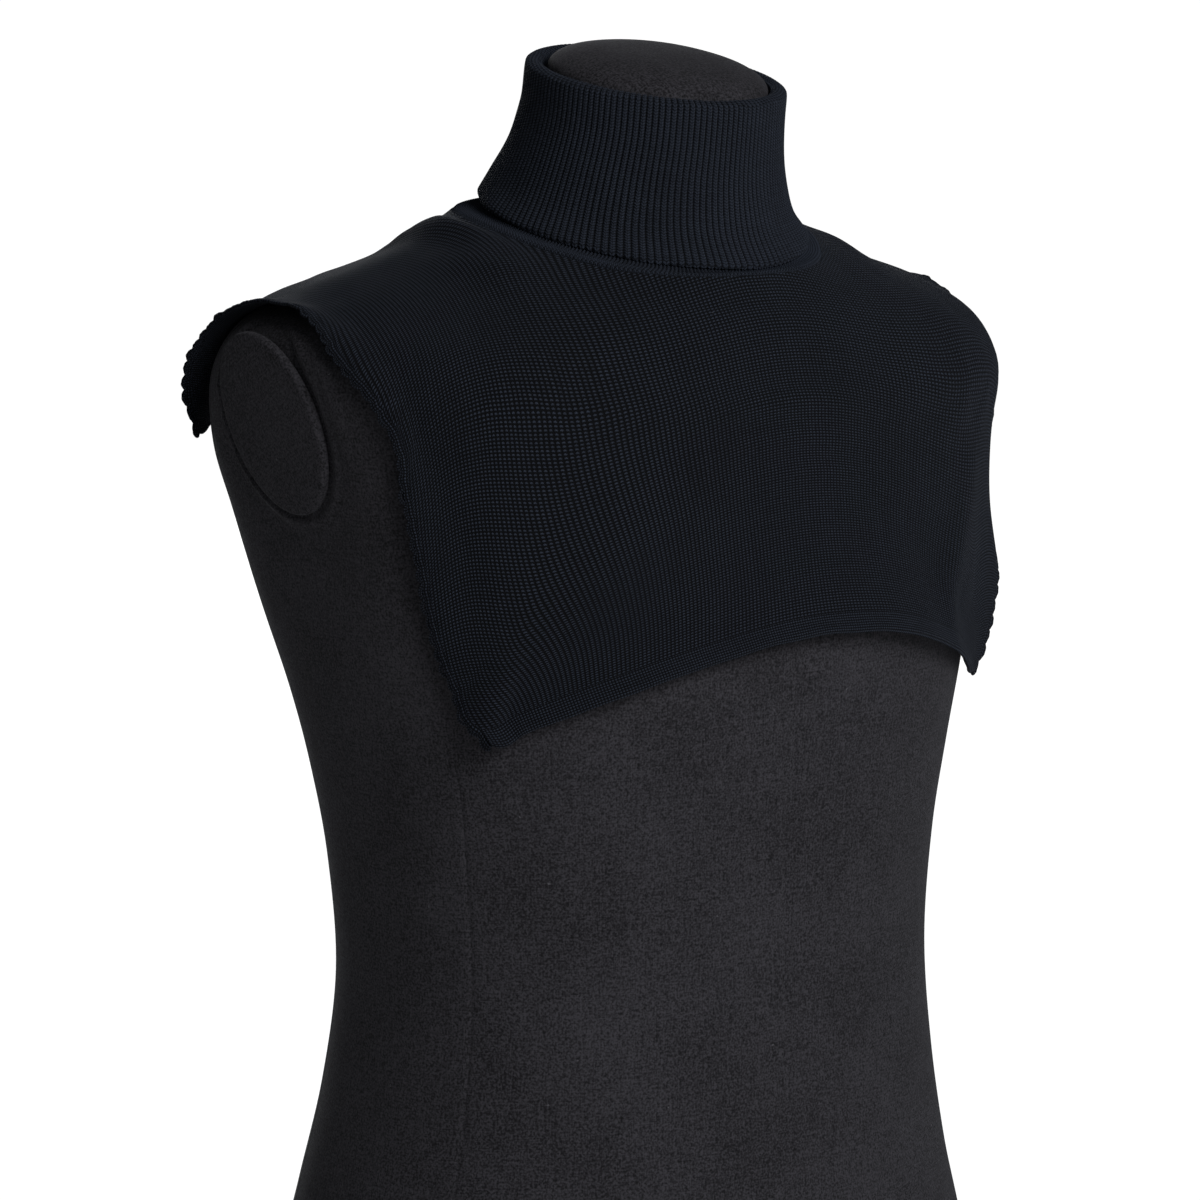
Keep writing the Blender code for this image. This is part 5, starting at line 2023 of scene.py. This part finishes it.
@dataclass
class Studio:
    """A pale floor, soft lights and a camera at the photograph's angle."""

    azimuth: float = -40.0
    elevation: float = 8.0
    distance: float = 2.6
    field: float = 0.585
    aim_height: float = 0.378
    aim_aside: float = -0.0146
    room_colour: Colour = (0.93, 0.96, 1.0)
    room_strength: float = 0.115
    backdrop_strength: float = 1.15
    floor_size: float = 120.0

    def build_floor(self) -> None:
        """Lays a wide plain floor."""
        bpy.ops.mesh.primitive_plane_add(size=self.floor_size)
        floor = bpy.context.object
        floor.name = "studio_floor"
        floor.data.materials.append(FloorFinish().material())

    def build_world(self) -> None:
        """Fills the room with faint even light, which the camera sees as pale."""
        world = bpy.data.worlds.new("studio")
        world.use_nodes = True
        bpy.context.scene.world = world
        wiring = Wiring(world.node_tree)
        room = world.node_tree.nodes["Background"]
        room.inputs["Color"].default_value = (*self.room_colour, 1.0)
        room.inputs["Strength"].default_value = self.room_strength
        seen = wiring.node("ShaderNodeBackground")
        seen.inputs["Color"].default_value = (1.0, 1.0, 1.0, 1.0)
        seen.inputs["Strength"].default_value = self.backdrop_strength
        sight = wiring.node("ShaderNodeLightPath")
        both = wiring.node("ShaderNodeMixShader")
        wiring.feed(both.inputs[0], sight.outputs["Is Camera Ray"])
        wiring.feed(both.inputs[1], room.outputs[0])
        wiring.feed(both.inputs[2], seen.outputs[0])
        wiring.feed(world.node_tree.nodes["World Output"].inputs[0], both.outputs[0])

    def build_lights(self) -> None:
        """Hangs the soft lights."""
        for box in SOFTBOXES:
            lamp = bpy.data.lights.new(box.name, "AREA")
            lamp.size, lamp.energy, lamp.color = box.size, box.watts, box.colour
            holder = bpy.data.objects.new(box.name, lamp)
            holder.location = box.place
            aim = Vector((0.0, 0.0, self.aim_height)) - Vector(box.place)
            holder.rotation_euler = aim.to_track_quat("-Z", "Y").to_euler()
            bpy.context.scene.collection.objects.link(holder)

    def build_camera(self) -> None:
        """Sets the camera up at the photograph's angle and framing."""
        azimuth, elevation = math.radians(self.azimuth), math.radians(self.elevation)
        level = math.cos(elevation)
        back = Vector((math.sin(azimuth) * level, -math.cos(azimuth) * level, math.sin(elevation)))
        right = Vector((math.cos(azimuth), math.sin(azimuth), 0.0))
        aim = Vector((0.0, -MIDDLE_DEPTH, self.aim_height)) + right * self.aim_aside
        camera = bpy.data.cameras.new("camera")
        camera.lens = camera.sensor_width * self.distance / self.field
        camera.clip_end = 200.0
        holder = bpy.data.objects.new("camera", camera)
        place = Matrix((right, back.cross(right), back)).transposed().to_4x4()
        place.translation = aim + back * self.distance
        holder.matrix_world = place
        bpy.context.scene.collection.objects.link(holder)
        bpy.context.scene.camera = holder

    def build(self) -> None:
        """Builds the whole studio."""
        self.build_camera()
        self.build_floor()
        self.build_world()
        self.build_lights()
        bpy.context.scene.view_settings.view_transform = "Standard"


# ---------------------------------------------------------------- the whole object


def main() -> None:
    """Builds the studio, the dress form and the neck warmer, in that order."""
    logging.basicConfig(level=logging.INFO, format="%(name)s %(message)s")
    Studio().build()

    effects = Effects()
    jersey = JerseyFinish("black_jersey_cloth", "black_jersey").cloth(effects)
    lid_jersey = JerseyFinish("black_jersey_lid_cloth", "black_jersey_lids").cloth(effects)
    form = DressForm()
    form.build_torso(jersey)
    form.build_plates(lid_jersey)
    form.build_neck_cap(lid_jersey)

    collar = RollCollar(form)
    knit_finish = KnitFinish("navy_plain_knit", "navy_knit", 0.00205, 0.0014, slant=0.35, open=0.30)
    welt_finish = KnitFinish("navy_welt_knit", "navy_rib", 0.00150, 0.0012, slant=0.35, open=0.25)
    rib_finish = KnitFinish(
        "navy_rib_knit",
        "navy_rib",
        collar.flat_width / collar.ribs,
        0.0014,
        slant=1.3,
        open=-0.04,
        split=0.55,
        # the rib's stitch crowns: the yarn's colour brightened as a painted highlight
        yarn_and_painted_highlight=(0.0172, 0.0218, 0.0312),
    )
    knit, welt_knit, rib_knit = (finish.cloth(effects) for finish in (knit_finish, welt_finish, rib_finish))
    cut = FlapCut(form)
    front = FlapPanel(cut, Flap.FRONT, (0.40, 0.235), 0.0640, welt_size=(0.34, 0.010), corner_rounding=0.42)
    back = FlapPanel(cut, Flap.BACK, (0.40, 0.155), 0.0420, welt_size=(0.386, 0.010), corner_rounding=0.084)
    for panel in (front, back):
        cloth, welt = panel.build_panel(knit), panel.build_welt(welt_knit)
    for side in Side:
        edging = PicotEdging(side, front, back)
        loops = edging.build(welt_knit)
    tube = collar.build(rib_knit)


if __name__ == "__main__":
    main()
